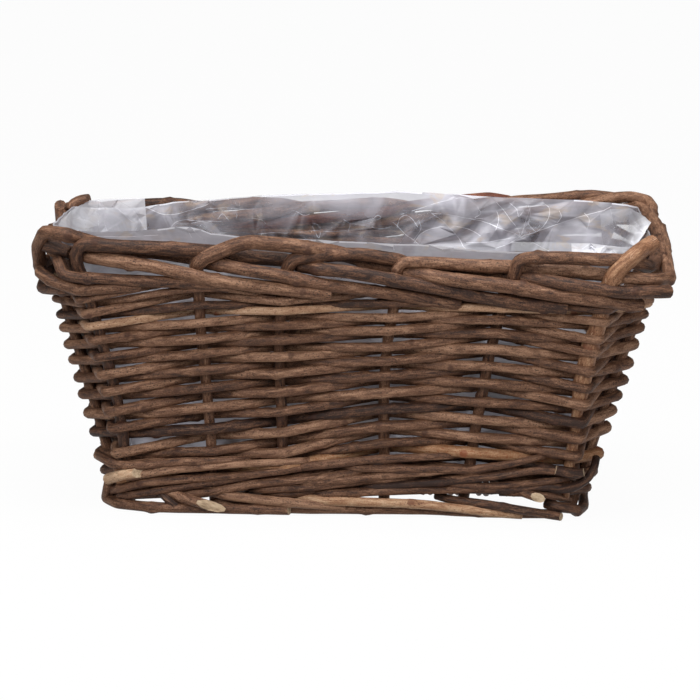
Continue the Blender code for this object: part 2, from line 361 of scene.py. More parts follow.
def bud_scars(straight, turn, knots, seed):
    """How far each point of a rod lies in a bud's scar, which sits on another side at each knot."""
    scars = np.zeros(len(straight))
    for index, knot in enumerate(knots):
        side = np.cos(turn - index * SCAR_TURN - seed)
        near = np.exp(-(((straight[:, 0] - knot) / SCAR_LENGTH) ** 2)) * np.clip(side, 0, 1) ** 3
        scars = np.maximum(scars, near)
    return scars


def slanted_cuts(line, radius, spots, rings, out, cuts):
    """How far the points near a rod's two ends move along it, so that its cuts slant."""
    toward_eye = out @ np.array(tuple(-FORWARD))
    along = np.gradient(line, axis=0)
    along /= np.linalg.norm(along, axis=1)[:, None]
    pulls = np.zeros_like(out)
    for ring, way, slant in ((0, 1, cuts[0]), (len(line) - 1, -1, cuts[1])):
        reach = max(radius[ring] * CUT_REACH * abs(slant), STEP)
        share = np.clip(1 - np.abs(spots[rings] - spots[ring]) / reach, 0, 1)
        pulls += along[ring] * (share * toward_eye * slant * way)[:, None]
    return pulls


def shape_rod(mesh, line, radius, spots, seed, knots, cuts, tone):
    """Gives a rod's mesh its lumps, its slanted cuts and the places that the bark's pattern follows."""
    count = len(line)
    points = np.empty(len(mesh.vertices) * 3)
    mesh.vertices.foreach_get("co", points)
    points = points.reshape(-1, 3)
    sides = len(points) // (count + 2)
    rings = np.r_[np.full(sides, count - 1), np.zeros(sides, int), np.repeat(np.arange(count), sides)]
    turn = np.tile(np.arange(sides), count + 2) * math.tau / sides
    out = points - line[rings]
    straight = np.c_[spots[rings], radius[rings] * np.cos(turn), radius[rings] * np.sin(turn)]
    grain = straight * (LUMPS_ALONG, LUMPS_ACROSS, LUMPS_ACROSS) + (seed * 5, 0, 0)
    lumps = np.array([noise.noise(spot) for spot in grain])
    scars = bud_scars(straight, turn, knots, seed)
    points = points + out * (LUMP_RISE * lumps + SCAR_RISE * scars)[:, None]
    points += slanted_cuts(line, radius, spots, rings, out, cuts)
    mesh.vertices.foreach_set("co", points.ravel())
    shift = np.array((seed * 0.137 % 3, seed * 0.071 % 1, seed * 0.043 % 1))
    add_values(mesh, "bark_place", "FLOAT_VECTOR", "vector", straight + shift)
    add_values(mesh, "bark_tone", "FLOAT", "value", np.full(len(points), tone))
    add_values(mesh, "bark_scar", "FLOAT", "value", scars)
    caps = [max(face.vertices) < 2 * sides for face in mesh.polygons]
    mesh.polygons.foreach_set("material_index", np.array(caps, dtype=np.int32))
    mesh.update()


def add_values(mesh, label, kind, field, values):
    layer = mesh.attributes.new(label, kind, "POINT")
    layer.data.foreach_set(field, values.astype(np.float32).ravel())


# Shader maths.
class Socket:
    """A shader socket whose sums and products add their own Math nodes."""

    def __init__(self, tree, link):
        self.tree, self.link = tree, link

    def node(self, kind, settings=None, stops=None, take=0, **values):
        made = self.tree.nodes.new(kind)
        for label, value in (settings or {}).items():
            setattr(made, label, value)
        if stops:
            ramp = made.color_ramp
            while len(ramp.elements) < len(stops):
                ramp.elements.new(1)
            for element, (spot, colour) in zip(ramp.elements, stops):
                element.position = spot
                element.color = colour if len(colour) == 4 else (*colour, 1)
        for label, value in values.items():
            socket = made.inputs[int(label[2:]) if label.startswith("i_") else label.replace("_", " ")]
            if isinstance(value, Socket):
                self.tree.links.new(value.link, socket)
            else:
                socket.default_value = value
        return Socket(self.tree, made.outputs[take])

    def outputs(self):
        return [Socket(self.tree, output) for output in self.link.node.outputs]

    def maths(self, operation, other=None, third=None, swap=False):
        first, second = (other, self) if swap else (self, other)
        values = {"i_0": first}
        if second is not None:
            values["i_1"] = second
        if third is not None:
            values["i_2"] = third
        return self.node("ShaderNodeMath", {"operation": operation}, **values)

    def __add__(self, other):
        return self.maths("ADD", other)

    __radd__ = __add__

    def __mul__(self, other):
        return self.maths("MULTIPLY", other)

    __rmul__ = __mul__

    def __sub__(self, other):
        return self.maths("SUBTRACT", other)

    def __rsub__(self, other):
        return self.maths("SUBTRACT", other, swap=True)

    def between(self, low, high):
        """0 under the low value, 1 over the high one, smooth in between."""
        smooth = {"interpolation_type": "SMOOTHSTEP"}
        return self.node("ShaderNodeMapRange", smooth, Value=self, From_Min=low, From_Max=high)

    def colour(self, *stops):
        return self.node("ShaderNodeValToRGB", stops=stops, Fac=self)

    def over(self, under, colour):
        """Where this is 1 the colour shows, and where it is 0 what lies under it."""
        return self.node("ShaderNodeMix", {"data_type": "RGBA"}, take=2, i_0=self, i_6=under, i_7=colour)

    def stretched(self, sizes):
        return self.node("ShaderNodeVectorMath", {"operation": "MULTIPLY"}, i_0=self, i_1=sizes)

    def grain(self, scale, detail=3.0, roughness=0.55, distortion=0.0):
        values = {"Detail": detail, "Roughness": roughness, "Distortion": distortion}
        return self.node("ShaderNodeTexNoise", Vector=self, Scale=scale, **values)

    def pattern(self, sizes, detail, roughness, distortion=0.0):
        """Soft noise that is as fine along each direction as its sizes say."""
        return self.stretched(sizes).grain(1.0, detail, roughness, distortion)

    def cells(self, scale):
        return self.node("ShaderNodeTexVoronoi", Vector=self, Scale=scale)

    def bump(self, distance, strength):
        return self.node("ShaderNodeBump", Height=self, Distance=distance, Strength=strength)


def new_material(name):
    made = bpy.data.materials.new(name)
    made.use_nodes = True
    tree = made.node_tree
    return made, tree, tree.nodes["Principled BSDF"], Socket(tree, None)


def attribute(start, name, take=2):
    return start.node("ShaderNodeAttribute", {"attribute_name": name}, take=take)


def join(tree, shader, **values):
    for label, value in values.items():
        socket = shader.inputs[label.replace("_", " ")]
        if isinstance(value, Socket):
            tree.links.new(value.link, socket)
        else:
            socket.default_value = value


# Patterns in the bark, the cut wood and the film: how fine in each direction, detail, roughness, distortion.
BARK_PATTERNS = (
    ((70, 300, 300), 4, 0.65, 0.8), ((90, 700, 700), 3, 0.6), ((150, 1700, 1700), 2, 0.6),
    ((1100, 2600, 2600), 2, 0.6),
)
SPECKED_PLACES = ((45, 160, 160), 2, 0.5)
RUBBED_PLACES = ((45, 380, 380), 5, 0.75, 1.2)
SPECK_SIZES = (520, 800, 800)
CUT_FIBRE = ((400, 900, 900), 3, 0.6)
CUT_BLOTCH = ((200, 260, 260), 2, 0.5)
FILM_CLOUDS = ((28, 28, 32), 3, 0.5, 0.8)
FILM_STREAKS = ((60, 60, 380), 3, 0.6, 1.5)
# where the film carries painted warm light
FILM_PAINTED_WARM_LIGHT_PLACES = ((55, 55, 120), 3, 0.55, 0.6)
# where the low film carries painted glints
FILM_PAINTED_GLINTS = ((50, 50, 90), 2, 0.5, 0.6)
FILM_WRINKLES = ((75, 75, 75), 3, 0.5, 0.8)
# where the creases' painted highlight shows
SHOWN_CREASE_HIGHLIGHTS = ((45, 45, 70), 3, 0.6, 1.0)

BARK_LEVEL = 0.94
RUBBED_GAIN, RUBBED_LIFT = 1.35, 0.03
GRAIN_DEPTH, BARK_BUMP, CUT_BUMP = 0.0006, 0.55, 0.5
WRINKLE_DEPTH, WRINKLE_BUMP = 0.0010, 0.20
FILM_COLOURS = ((0.19, 0.18, 0.205), (0.30, 0.292, 0.33), (0.50, 0.49, 0.545))
FILM_STOPS = (0.15, 0.5, 0.9)
# Painted light on the film: warm patches of light, a paler low part and white glints.
PAINTED_WARM_LIGHT, LOW_PAINTED_LIGHT, PAINTED_GLINT_WHITE = (0.50, 0.40, 0.31, 1), (0.70, 0.70, 0.76, 1), (0.86, 0.86, 0.92, 1)
FADED_COLOUR, FADED_MILK = (0.38, 0.375, 0.415, 1), 0.54
PAINTED_LIGHT_HEIGHTS = (0.125, 0.150)  # painted light: the film is painted paler under the first height, and no longer so above the second one
MOST_MILK, LEAST_MILK = 0.96, 0.10


def bark_material(name, deep, middle, pale, speck, speck_amount, scar, patch=0.4, rubbed_to=None):
    """Unpeeled willow: lengthwise grain, soft mottling, dark specks, scars at the buds, rubbed places."""
    made, tree, shader, start = new_material(name)
    spot = attribute(start, "bark_place", take=1)
    tone = attribute(start, "bark_tone")
    bud = attribute(start, "bark_scar")
    mottle, wide_streak, streak, fine = (spot.pattern(*values) for values in BARK_PATTERNS)
    value = mottle * 0.95 + wide_streak * 0.35 + streak * 0.38 + fine * 0.60 + tone * 0.60 - BARK_LEVEL
    colour = value.colour((0.24, deep), (0.50, middle), (0.77, pale))
    dots = spot.stretched(SPECK_SIZES).cells(1.0)
    here = spot.pattern(*SPECKED_PLACES).between(0.5 - speck_amount / 4, 0.66)
    specks = (1 - dots.between(0.16, 0.36)) * here
    colour = (specks * 0.85).over(colour, (*speck, 1))
    rubbed = spot.pattern(*RUBBED_PLACES).between(0.60, 0.70) * patch
    lighter = (*(min(1, part * RUBBED_GAIN + RUBBED_LIFT) for part in pale), 1)
    colour = rubbed.over(colour, rubbed_to or lighter)
    marks = (bud * 1.4 + (fine - 0.5) * 1.2).between(0.5, 0.8) * 0.7
    colour = marks.over(colour, (*scar, 1))
    height = wide_streak * 0.6 + streak * 0.5 + mottle * 0.5 + fine * 0.35 - specks * 0.5 + bud * 0.6
    bump = height.bump(GRAIN_DEPTH, BARK_BUMP)
    join(tree, shader, Base_Color=colour, Roughness=0.62 + (mottle - 0.5) * 0.25, Normal=bump)
    join(tree, shader, Specular_IOR_Level=0.30)
    return made


def cut_wood_material():
    made, tree, shader, start = new_material("cut_wood")
    spot = attribute(start, "bark_place", take=1)
    fibre = spot.pattern(*CUT_FIBRE)
    blotch = spot.pattern(*CUT_BLOTCH)
    colour = (fibre * 0.6 + blotch * 0.6 - 0.1).colour(
        (0.25, (0.20, 0.12, 0.065)), (0.5, (0.50, 0.36, 0.23)), (0.8, (0.70, 0.56, 0.40))
    )
    join(tree, shader, Base_Color=colour, Roughness=0.7, Normal=fibre.bump(GRAIN_DEPTH, CUT_BUMP))
    return made


def film_material(name, opacity, colours=FILM_COLOURS, cloudy=1.0, fading=0):
    """Clear polythene gone milky: film_tone says where it lies double or is clearer. Painted light: warm
    patches, a paler low part, glints, and on creases a painted highlight.
    """
    made, tree, shader, start = new_material(name)
    spot = start.node("ShaderNodeTexCoord", take=3)
    tone = attribute(start, "film_tone")
    clouds = spot.pattern(*FILM_CLOUDS) * 0.85 + spot.pattern(*FILM_STREAKS) * 0.12 - 0.485
    level = tone * 0.42 + clouds * cloudy + 0.50
    colour = level.colour(*zip(FILM_STOPS, colours))
    # Painted warm light: warm patches, as of light coming through the weave's gaps behind the film.
    painted_warm_light = spot.pattern(*FILM_PAINTED_WARM_LIGHT_PLACES).between(0.56, 0.66) * (0.50 * cloudy)
    colour = painted_warm_light.over(colour, PAINTED_WARM_LIGHT)
    # Painted light: low down the film is painted paler and a little milkier, standing in for the light it
    # lacks inside the basket.
    up = spot.node("ShaderNodeSeparateXYZ", take=2, Vector=spot)
    low = 1 - up.between(*PAINTED_LIGHT_HEIGHTS)
    colour = (low * 0.50).over(colour, LOW_PAINTED_LIGHT)
    # Painted highlights: white glints on the low film, which also make it a little milkier there.
    painted_glints = spot.pattern(*FILM_PAINTED_GLINTS).between(0.50, 0.74) * low * 0.50
    colour = painted_glints.over(colour, PAINTED_GLINT_WHITE)
    milk = (level - 0.5) * 1.10 + opacity + painted_glints * 0.3 + low * 0.16
    milk = milk.maths("MINIMUM", MOST_MILK).maths("MAXIMUM", LEAST_MILK)
    # Painted highlight: where the creases' bright colour shows, and where it fades to plain film.
    if fading:
        shown_highlight = spot.pattern(*SHOWN_CREASE_HIGHLIGHTS).between(0.40, 0.58) * (1 - fading) + fading
        colour = shown_highlight.over(FADED_COLOUR, colour)
        milk = (milk - FADED_MILK) * shown_highlight + FADED_MILK
    bump = spot.pattern(*FILM_WRINKLES).bump(WRINKLE_DEPTH, WRINKLE_BUMP)
    join(tree, shader, Base_Color=colour, Alpha=milk, Normal=bump, Roughness=0.42)
    join(tree, shader, Specular_IOR_Level=0.45, Coat_Weight=0.18, Coat_Roughness=0.15)
    return made


# Siding.
WEAVE_STRETCH = 1.08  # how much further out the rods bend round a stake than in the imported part
TOP_ROW_STEP = 0.001
SIDING_THICK, SIDING_THINS, THINNER_FROM = 0.0066, 0.0016, 15
SIDING_VARIES, ORANGE_THICKER = 0.0007, 0.0006
ROW_LOOKS = {
    22: ("golden", 0.55), 4: ("orange", 0.5), 9: ("bark", 0.15), 3: ("bark", 0.2), 23: ("bark", 0.25),
}
ROW_TONE, TONE_SPREAD = 0.35, 0.35

# Two more rods at the wall's top left, in pixels and shares of WEAVE_OUT, and two round the back by height.
SHORT_THICK = 0.0050
SHORT_LOOP = ((-2, -1), (-1, 1.04))
SHORT_PIXEL_ROWS = (298.4, 290)
FIRST_SHORT = (
    (88, 305.5, -0.9), (108, 302, -0.3), (135, 297.5, 0.4), (165, 292, 0.8), (200, 289, 1.04),
    (225, 289, 0.8), (253, 292, 0.5), (277, 297, -0.6), (300, 299, -1),
)
SECOND_SHORT = ((79, 300.5, 1.1), (111, 294.3, 0.9), (139, 288.5, 0.5), (160, 285, -0.8))
BACK_SHORT_HEIGHTS = (0.1455, 0.1505)


def crossing_pixel(row, index):
    """The pixel row of a siding row at a stake; where it passes behind, it lies below the row above."""
    lines = CROSSINGS[index]
    down = (ROWS - 1 - row - index % 2) / 2
    if down != int(down):
        down = math.floor(down) + BEHIND_SHARES.get(index, 0.5)
    low = min(max(int(down), 0), len(lines) - 2)
    return lines[low] + (down - low) * (lines[low + 1] - lines[low])


def stake_pixel(index, py):
    xs, ys = zip(*STAKE_SIGHTS[index])
    return np.interp(py, ys, xs)


def side_height(row, index, out):
    height = height_seen_at(stake_share(index), crossing_pixel(row, index), out)
    return min(height, TOP_ROW_LIMIT + TOP_ROW_STEP * (row - ROWS + 3))


def crossing(row, number):
    """Where a row crosses a stake: as photographed at the front, and evenly between there round the back."""
    swing = math.cos(math.pi * (number + row))
    out = WEAVE_OUT * WEAVE_STRETCH * swing
    index = number % len(STAKES)
    if index < FRONT_STAKES:
        py = crossing_pixel(row, index)
        px = stake_pixel(index, py) + (CORNER_OVERHANG.get(index, 0) if swing > 0 else 0)
        point = seen(px, py, out)
        point.z = max(point.z, LOWEST_ROW)
        return point
    share = (index - FRONT_STAKES) / (len(STAKES) - FRONT_STAKES - 1)
    height = blend_of(side_height(row, FRONT_STAKES, abs(out)), side_height(row, -1, abs(out)), share)
    return place(stake_share(number), max(height, LOWEST_ROW), out)


def row_points(row):
    half = len(STAKES) // 2
    start = 2 * (4 * row % half) + (row + 1) % 2
    points = [crossing(row, number) for number in range(start, start + len(STAKES) + 1)]
    points[-1] = points[-1].lerp(points[-2], 0.02)
    return points


def back_short_points(row, height):
    """A short rod's way round the back, behind and in front of the stakes at one height."""
    points = []
    for number in range(FRONT_STAKES, len(STAKES)):
        swing = math.cos(math.pi * (number + row))
        points.append(place(stake_share(number), height + 0.001 * math.sin(number), WEAVE_OUT * swing))
    return points


def build_short_siding(finishes):
    """Two more rods fill the wall's top at its left end, and two more fill the back's."""
    heights = [height_seen_at(stake_share(-1), py, WEAVE_OUT) for py in SHORT_PIXEL_ROWS]
    first = [place(stake_share(number), heights[0], WEAVE_OUT * swing) for number, swing in SHORT_LOOP]
    first += [seen(px, py, WEAVE_OUT * out) for px, py, out in FIRST_SHORT]
    second = [place(stake_share(-1), heights[1], -WEAVE_OUT)]
    second += [seen(px, py, WEAVE_OUT * out) for px, py, out in SECOND_SHORT]
    back = [back_short_points(row, height) for row, height in enumerate(BACK_SHORT_HEIGHTS)]
    for number, points in enumerate((first, second, *back), ROWS + 1):
        made = rod(
            f"siding_{number}", points, SHORT_THICK, finishes["bark"], finishes["cut"], number,
            bend=0.005, taper=0.2, wobble=0.0004, tone=0.5,
        )


def build_siding(finishes):
    for row in range(ROWS):
        finish, tone = ROW_LOOKS.get(row, ("bark", ROW_TONE + TONE_SPREAD * (row * SPREAD % 1)))
        thick = SIDING_THICK - SIDING_THINS * max(0, row - THINNER_FROM) / (ROWS - THINNER_FROM)
        thick += SIDING_VARIES * (row * SECOND_SPREAD % 1)
        thick += ORANGE_THICKER if finish == "orange" else 0
        made = rod(
            f"siding_{row + 1:02d}", row_points(row), thick, finishes[finish], finishes["cut"], row + 1,
            bend=0.006, taper=0.10, wobble=0.0005, tone=tone,
        )
        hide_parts(f"row_{row + 1:02d}")


# The border, as each rod shows in the photograph: pixels, and how far out as a share of WRAP_OUT.
FRONT_RUNS = {
    0: ((76, 262, 0.2), (77, 249, 0.4), (84, 244, 0.5), (120, 246.5, 0.5), (165, 248.5, 0.4), (196, 250, 0),
        (222, 252, -0.8), (245, 257, -1), (285, 260, -1), (300, 266, -0.3), (322, 269.5, 0.6),
        (346, 272, 1), (395, 280, 1), (437, 288, 1), (475, 296, 1), (526, 304, 1), (566, 308, 1)),
    1: ((196, 275, 0), (196, 264, 0.2), (203, 258, 0.3), (236, 245, 0.1), (250, 242, 0), (297, 246.5, 0),
        (330, 251, -0.2), (350, 256, -0.8), (372, 264, -1), (395, 268, -1), (407, 273, -0.2),
        (430, 276, 0.6), (455, 280, 1), (506, 286, 1), (557, 295, 1), (600, 301, 1), (640, 306, 1)),
    2: ((286, 275, 0), (288, 266, 0), (293, 259, 0.1), (325, 254.5, 0), (361, 254.5, -0.1),
        (397, 259.5, -0.4), (412, 266, -1), (440, 270, -1), (505, 275, -1), (521, 278, -0.2),
        (545, 281, 0.6), (577, 286, 1), (623, 292, 1)),
    3: ((396, 280, 0), (397, 268, 0), (404, 262.5, 0), (440, 264, -0.1), (475, 265.5, -0.1),
        (512, 266, -0.4), (532, 269, -0.9), (570, 272, -0.9), (606, 275, -0.6), (627, 277.5, 0.3),
        (655, 280, 1)),
    4: ((513, 285, 0), (515, 270, 0), (519, 260, 0.1), (528, 258, 0), (560, 258, -0.1), (617, 259, -0.1),
        (640, 263, -0.5)),
    5: ((608, 290, 0.2), (613, 279, 0.35), (619, 269, 0.3), (634, 256.5, 0.15)),
    17: ((41, 270, 0), (38, 247, 0), (45, 232, 0), (62, 234, -0.1), (80, 238.5, -0.5), (100, 244, -1.1),
         (125, 249, -1.2), (150, 252, -1.1), (190, 258, -1), (205, 263, -0.6), (225, 266, 0.4),
         (252, 271, 1), (292, 278, 1), (325, 285, 1), (346, 288, 1), (386, 293, 1), (427, 300, 0.8),
         (458, 303, 0.2)),
    16: ((52, 250, -0.7), (76, 254, -1), (90, 257, 0), (112, 260.5, 0.8), (152, 266, 1), (190, 274, 1),
         (216, 280, 1), (257, 286, 1), (298, 290, 1), (330, 293, 1)),
    15: ((58, 262, 0.5), (62, 274, 1), (75, 277, 1), (117, 279, 1), (163, 282, 1), (190, 283, 0.9),
         (228, 287, 0.6)),
    14: ((40, 273, 1.1), (52, 281, 1.2), (79, 290.5, 1.1), (117, 287.5, 0.9), (140, 286.5, 0.6)),
    13: ((42, 288, 1.1), (64, 290, 0.9), (86, 291, 0.1)),
}
# How much the rim stands above or under its even line, by shares of the way round: a wave at the back, with
# a drop before it, and a dip at the left.
RIM_LIFTS = (
    (0.36, 0), (0.42, -0.003), (0.455, 0), (0.485, 0.0055), (0.51, 0.0040), (0.53, 0.0024), (0.575, 0.0026),
    (0.60, 0.0003), (0.64, -0.0008), (0.70, 0), (0.81, 0), (0.833, -0.008), (0.87, -0.009), (0.895, -0.007),
    (0.98, 0),
)
# How far further in a stake's bend lies, by shares of the way round.
RIM_TUCKS = ((0.43, 0), (0.45, 0.0035), (0.485, 0.0040), (0.51, 0))
RIGHT_TUCK = 0.25  # how close the outer runs at the right lie against the stakes
RIGHT_TUCKED = (0.33, 0.49)
RUN_START, RUN_STEP, RUN_END = 0.03, 0.25, 4.4
PLAIN_RUN_ENDS = {16: 1.5, 15: 1.9, 14: 2.9, 13: 3.9}

# Where some of these runs go on along the right side: pixels, and how far back from the middle.
RIGHT_RUNS = {
    2: ((648, 291.5, -0.114), (669, 291.8, -0.107)),
    3: ((670, 279, -0.092), (667.5, 268, -0.070), (665.5, 255, -0.045), (664, 243, -0.015),
        (661, 232.5, 0.015), (656, 223.5, 0.040), (650, 216, 0.065), (643, 210, 0.088),
        (632.5, 205, 0.106)),
    4: ((648, 267, -0.096), (654, 264, -0.076), (657, 256, -0.050), (658, 247, -0.025), (657.5, 238, 0.002),
        (654, 230.5, 0.025), (648, 224, 0.050)),
    5: ((643, 249, -0.099), (653, 242.5, -0.094)),
}


def border_place(along):
    for before, after in zip(BORDER_LINE, BORDER_LINE[1:]):
        if along <= after[0]:
            break
    part = (along - before[0]) / (after[0] - before[0])
    return WRAP_OUT * blend_of(before[1], after[1], part), BORDER_DROP * blend_of(before[2], after[2], part)


def plain_run(number, last):
    """A stake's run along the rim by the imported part's own rule, up to a number of spacings."""
    points = []
    for step in range(1 + int((last - RUN_START) / RUN_STEP)):
        along = RUN_START + RUN_STEP * step
        out, down = border_place(along)
        share = between(number + along)
        lift = np.interp(share % 1, *zip(*RIM_LIFTS))
        if RIGHT_TUCKED[0] < share % 1 < RIGHT_TUCKED[1] and out > 0:
            out *= RIGHT_TUCK
        if along < 1:
            out -= np.interp(share % 1, *zip(*RIM_TUCKS))
        points.append(place(share, BORDER_TOP - down + lift, out))
    return points


STAKE_END = 0.0015
BACK_STAKE_HEIGHTS = (0.003, 0.05, 0.10, 0.145)
CORNER_STAKE, CORNER_STAKE_HEIGHT = 17, 0.134
BORDER_THICK = 0.0070
BORDER_SWELL = {0: 1.26, 1: 1.36, 2: 1.28, 5: 1.60, 17: 1.24}  # how much thicker a stake is along the border
FRONT_SWELL, BACK_SWELL = 1.22, 1.10
STAKE_LOOKS = {5: "peeled", 10: "rusty"}
STAKE_TONE, STAKE_TONE_SPREAD = 0.22, 0.4

# Three short ends at the rim's left corners: thickness, tone and pixels with how far back from the middle.
CORNER_STUBS = {
    "corner_stub": (0.0082, 0.40, ((63, 240, 0.088), (61.5, 222, 0.088), (60, 205, 0.088))),
    "corner_end": (0.0084, 0.45, ((70, 213, 0.092), (73, 205, 0.094), (80, 200.5, 0.096),
                                  (89, 199.5, 0.098))),
    "corner_torn_end": (0.0088, 0.22, ((44, 244, -0.102), (57, 248.5, -0.105), (72, 254, -0.106))),
}


def stake_foot(number):
    if number < FRONT_STAKES:
        foot = [seen(px, py, 0) for px, py in reversed(STAKE_SIGHTS[number])]
        foot[0].z = max(foot[0].z, STAKE_END)
        return foot
    share = stake_share(number)
    return [place(share, height, 0) for height in BACK_STAKE_HEIGHTS]


def stake_points(number):
    foot = stake_foot(number)
    run = [seen(px, py, WRAP_OUT * out) for px, py, out in FRONT_RUNS.get(number, ())]
    if number < FRONT_STAKES:
        return foot + run + [at_depth(*spot) for spot in RIGHT_RUNS.get(number, ())]
    if number == CORNER_STAKE:
        return foot[:3] + [place(stake_share(number), CORNER_STAKE_HEIGHT, 0)] + run
    return foot + plain_run(number, PLAIN_RUN_ENDS.get(number, RUN_END)) + run


def build_stakes(finishes):
    for seed, (name, (thick, tone, spots)) in enumerate(CORNER_STUBS.items()):
        points = [at_depth(*spot) for spot in spots]
        stub = rod(
            name, points, thick, finishes["bark"], finishes["bark"], 140 + seed, bend=0.005, taper=0.05,
            cuts=(0.5, 0.7), tone=tone, wobble=0.0003,
        )
    for number in range(len(STAKES)):
        finish = STAKE_LOOKS.get(number, "bark")
        plain_swell = BACK_SWELL if FRONT_STAKES <= number < 16 else FRONT_SWELL
        made = rod(
            f"border_stake_{number + 1:02d}", stake_points(number), BORDER_THICK, finishes[finish],
            finishes["cut"], 40 + number, bend=0.005, taper=0, cuts=(0, -0.25),
            tone=STAKE_TONE + STAKE_TONE_SPREAD * (number * SPREAD % 1),
            swell=BORDER_SWELL.get(number, plain_swell),
        )
        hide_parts(f"stake_{number + 1:02d}")


# The foot and the base, with the foot's rods in the photograph's pixels.
# Each has its thickness, its tone, how slanted its cut is, and pixels with shares of WRAP_OUT.
FOOT_RODS = {
    "foot_1": (0.0066, 0.55, 0, ((212, 502, 0.2), (232, 506, 0.9), (262, 508.5, 1), (285, 510, 1),
                                 (315, 511, 1), (440, 510, 1), (485, 514.5, 1), (530, 517.5, 1),
                                 (560, 519, 1))),
    "foot_left_lap": (0.0068, 0.45, 0.4, ((113, 476, 0.2), (108, 487, 1), (106, 498, 1), (109, 504.5, 1.2),
                                          (118, 508, 1.4), (150, 511, 1.8), (180, 514, 2.0),
                                          (230, 516, 2.0), (289, 515, 1.8))),
    "foot_dark_stub": (0.0056, 0.05, 0, ((158, 489, 0.6), (166, 498, 1.4), (174, 505, 1.9),
                                         (181, 511.5, 1.7))),
    "foot_cut_end": (0.0068, 0.6, 3.2, ((154, 488, 0.5), (170, 493, 1.0), (188, 499.5, 1.9),
                                        (211, 506, 2.9))),
    "foot_middle": (0.0064, 0.75, 0, ((205, 489, 0.3), (225, 495.5, 1.2), (265, 500, 1.6),
                                      (300, 503.5, 1.6), (345, 507, 1.0))),
    "foot_lap_1": (0.0062, 0.55, 0, ((286, 496, 0.3), (330, 500.5, 1.3), (370, 502.2, 1.5),
                                     (405, 503.5, 1.6), (430, 505.3, 1.7), (454, 508, 1.7),
                                     (495, 512.5, 1.6), (522, 517, 1.3))),
    "foot_left_knot": (0.0074, 0.75, 0.9, ((108, 479, 0.9), (119, 475.5, 1.35), (138, 472, 1.45))),
    "foot_lap_2": (0.0058, 0.25, 0.6, ((436, 495, 0), (452, 500, 0.9), (489, 504.5, 1.6), (530, 511.5, 1.8),
                                       (561, 517, 1.8))),
    "foot_right_stub": (0.0068, 0.3, 0, ((546, 503, 0.5), (558, 507, 1.2), (574, 508.5, 1.2))),
    "foot_right_cut": (0.0062, 0.35, 1.6, ((500, 486, 0.4), (520, 491, 0.9), (538, 497.5, 2.0))),
    "foot_right_knot": (0.0062, 0.15, 0.8, ((556, 470, 1.2), (572, 474, 1.3), (584, 472, 1.2))),
    "foot_dark_turn": (0.0058, 0.05, 0, ((545, 489, 0.6), (564, 489, 1.2), (577, 486, 1.2), (588, 478, 1.1),
                                         (594, 468, 1.0), (596, 458, 0.4))),
}

FOOT_FINISHES = {"foot_lap_1": "peeled", "foot_left_knot": "peeled"}

# The heavier weaving above the foot, each rod seen in front of two stakes: thickness, tone and pixels.
WALE_RODS = (
    (0.0064, 0.45, ((98, 455), (113, 464), (137, 466), (173, 462), (207, 461), (250, 459))),
    (0.0060, 0.75, ((122, 478), (140, 475), (165, 470), (235, 464.5), (315, 460))),
    (0.0064, 0.40, ((108, 491), (144, 483), (193, 478.5), (228, 476.5), (270, 472), (315, 466))),
    (0.0062, 0.30, ((113, 498), (158, 491), (235, 478.5), (270, 473))),
    (0.0064, 0.50, ((172, 494.5), (207, 492.6), (249, 484), (315, 478.5), (372, 470))),
    (0.0058, 0.35, ((250, 490), (315, 487), (372, 481))),
    (0.0062, 0.45, ((290, 468), (330, 464), (378, 459), (460, 455.5))),
    (0.0060, 0.40, ((340, 467), (412, 469), (468, 470), (510, 464), (545, 456))),
    (0.0062, 0.55, ((290, 485), (330, 481), (378, 476), (423, 473), (470, 468))),
    (0.0058, 0.05, ((360, 488), (426, 483), (482, 478.5), (530, 473))),
    (0.0060, 0.45, ((310, 494), (384, 491), (454, 490), (530, 486.5))),
    (0.0058, 0.35, ((440, 483), (482, 487), (530, 483.5), (575, 477))),
    (0.0058, 0.35, ((430, 481.5), (482, 477), (538, 470), (583, 473))),
    (0.0060, 0.25, ((450, 488), (510, 490), (550, 487), (576, 487))),
    (0.0056, 0.45, ((500, 492), (540, 494), (570, 500))),
)
WALE_OUT, WALE_END_OUT, WALE_RISE_OUT = 1.15, 0.1, 0.85
WALE_RISE = 14  # the pixels in which such a rod comes out from behind its first stake
STUB_GOES_ON = (0.31, 0.33, 0.38, 0.43, 0.465)
BACK_FOOT_END = ((0.478, 0.02, 1.6), (0.484, 0.006, 1.1))
BACK_FOOT_SHARES = (0.5, 0.6, 0.7, 0.79, 0.81, 0.83, 0.88, 0.93, 0.962)
OFF_TABLE = 0.0004
BASE_ROWS = (-0.8, -0.4, 0.0, 0.4, 0.8)
BASE_PITCH = 0.0088


def build_foot(finishes):
    for seed, (name, (thick, tone, slant, pixels)) in enumerate(FOOT_RODS.items()):
        points = [seen(px, py, WRAP_OUT * out) for px, py, out in pixels]
        if name == "foot_right_stub":
            points += [place(share, thick / 2, WRAP_OUT) for share in STUB_GOES_ON]
        add_foot_rod(finishes, name, thick, tone, slant, points, seed)
    back = [place(share, height, WRAP_OUT * out) for share, height, out in BACK_FOOT_END]
    back += [place(share, STAKE_THICK / 2, WRAP_OUT) for share in BACK_FOOT_SHARES]
    add_foot_rod(finishes, "foot_2", STAKE_THICK, 0.4, 0, back, 20)


def add_foot_rod(finishes, name, thick, tone, slant, points, seed):
    for point in points:
        point.z = max(point.z, thick / 2 + OFF_TABLE)
    finish = finishes[FOOT_FINISHES.get(name, "bark")]
    made = rod(
        name, points, thick, finish, finishes["cut"], 70 + seed, bend=0.006, taper=0.1, cuts=(0, slant),
        tone=tone, wobble=0.0003,
    )
    if name in ("foot_1", "foot_2"):
        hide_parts(name.replace("foot_", "foot_rod_"))


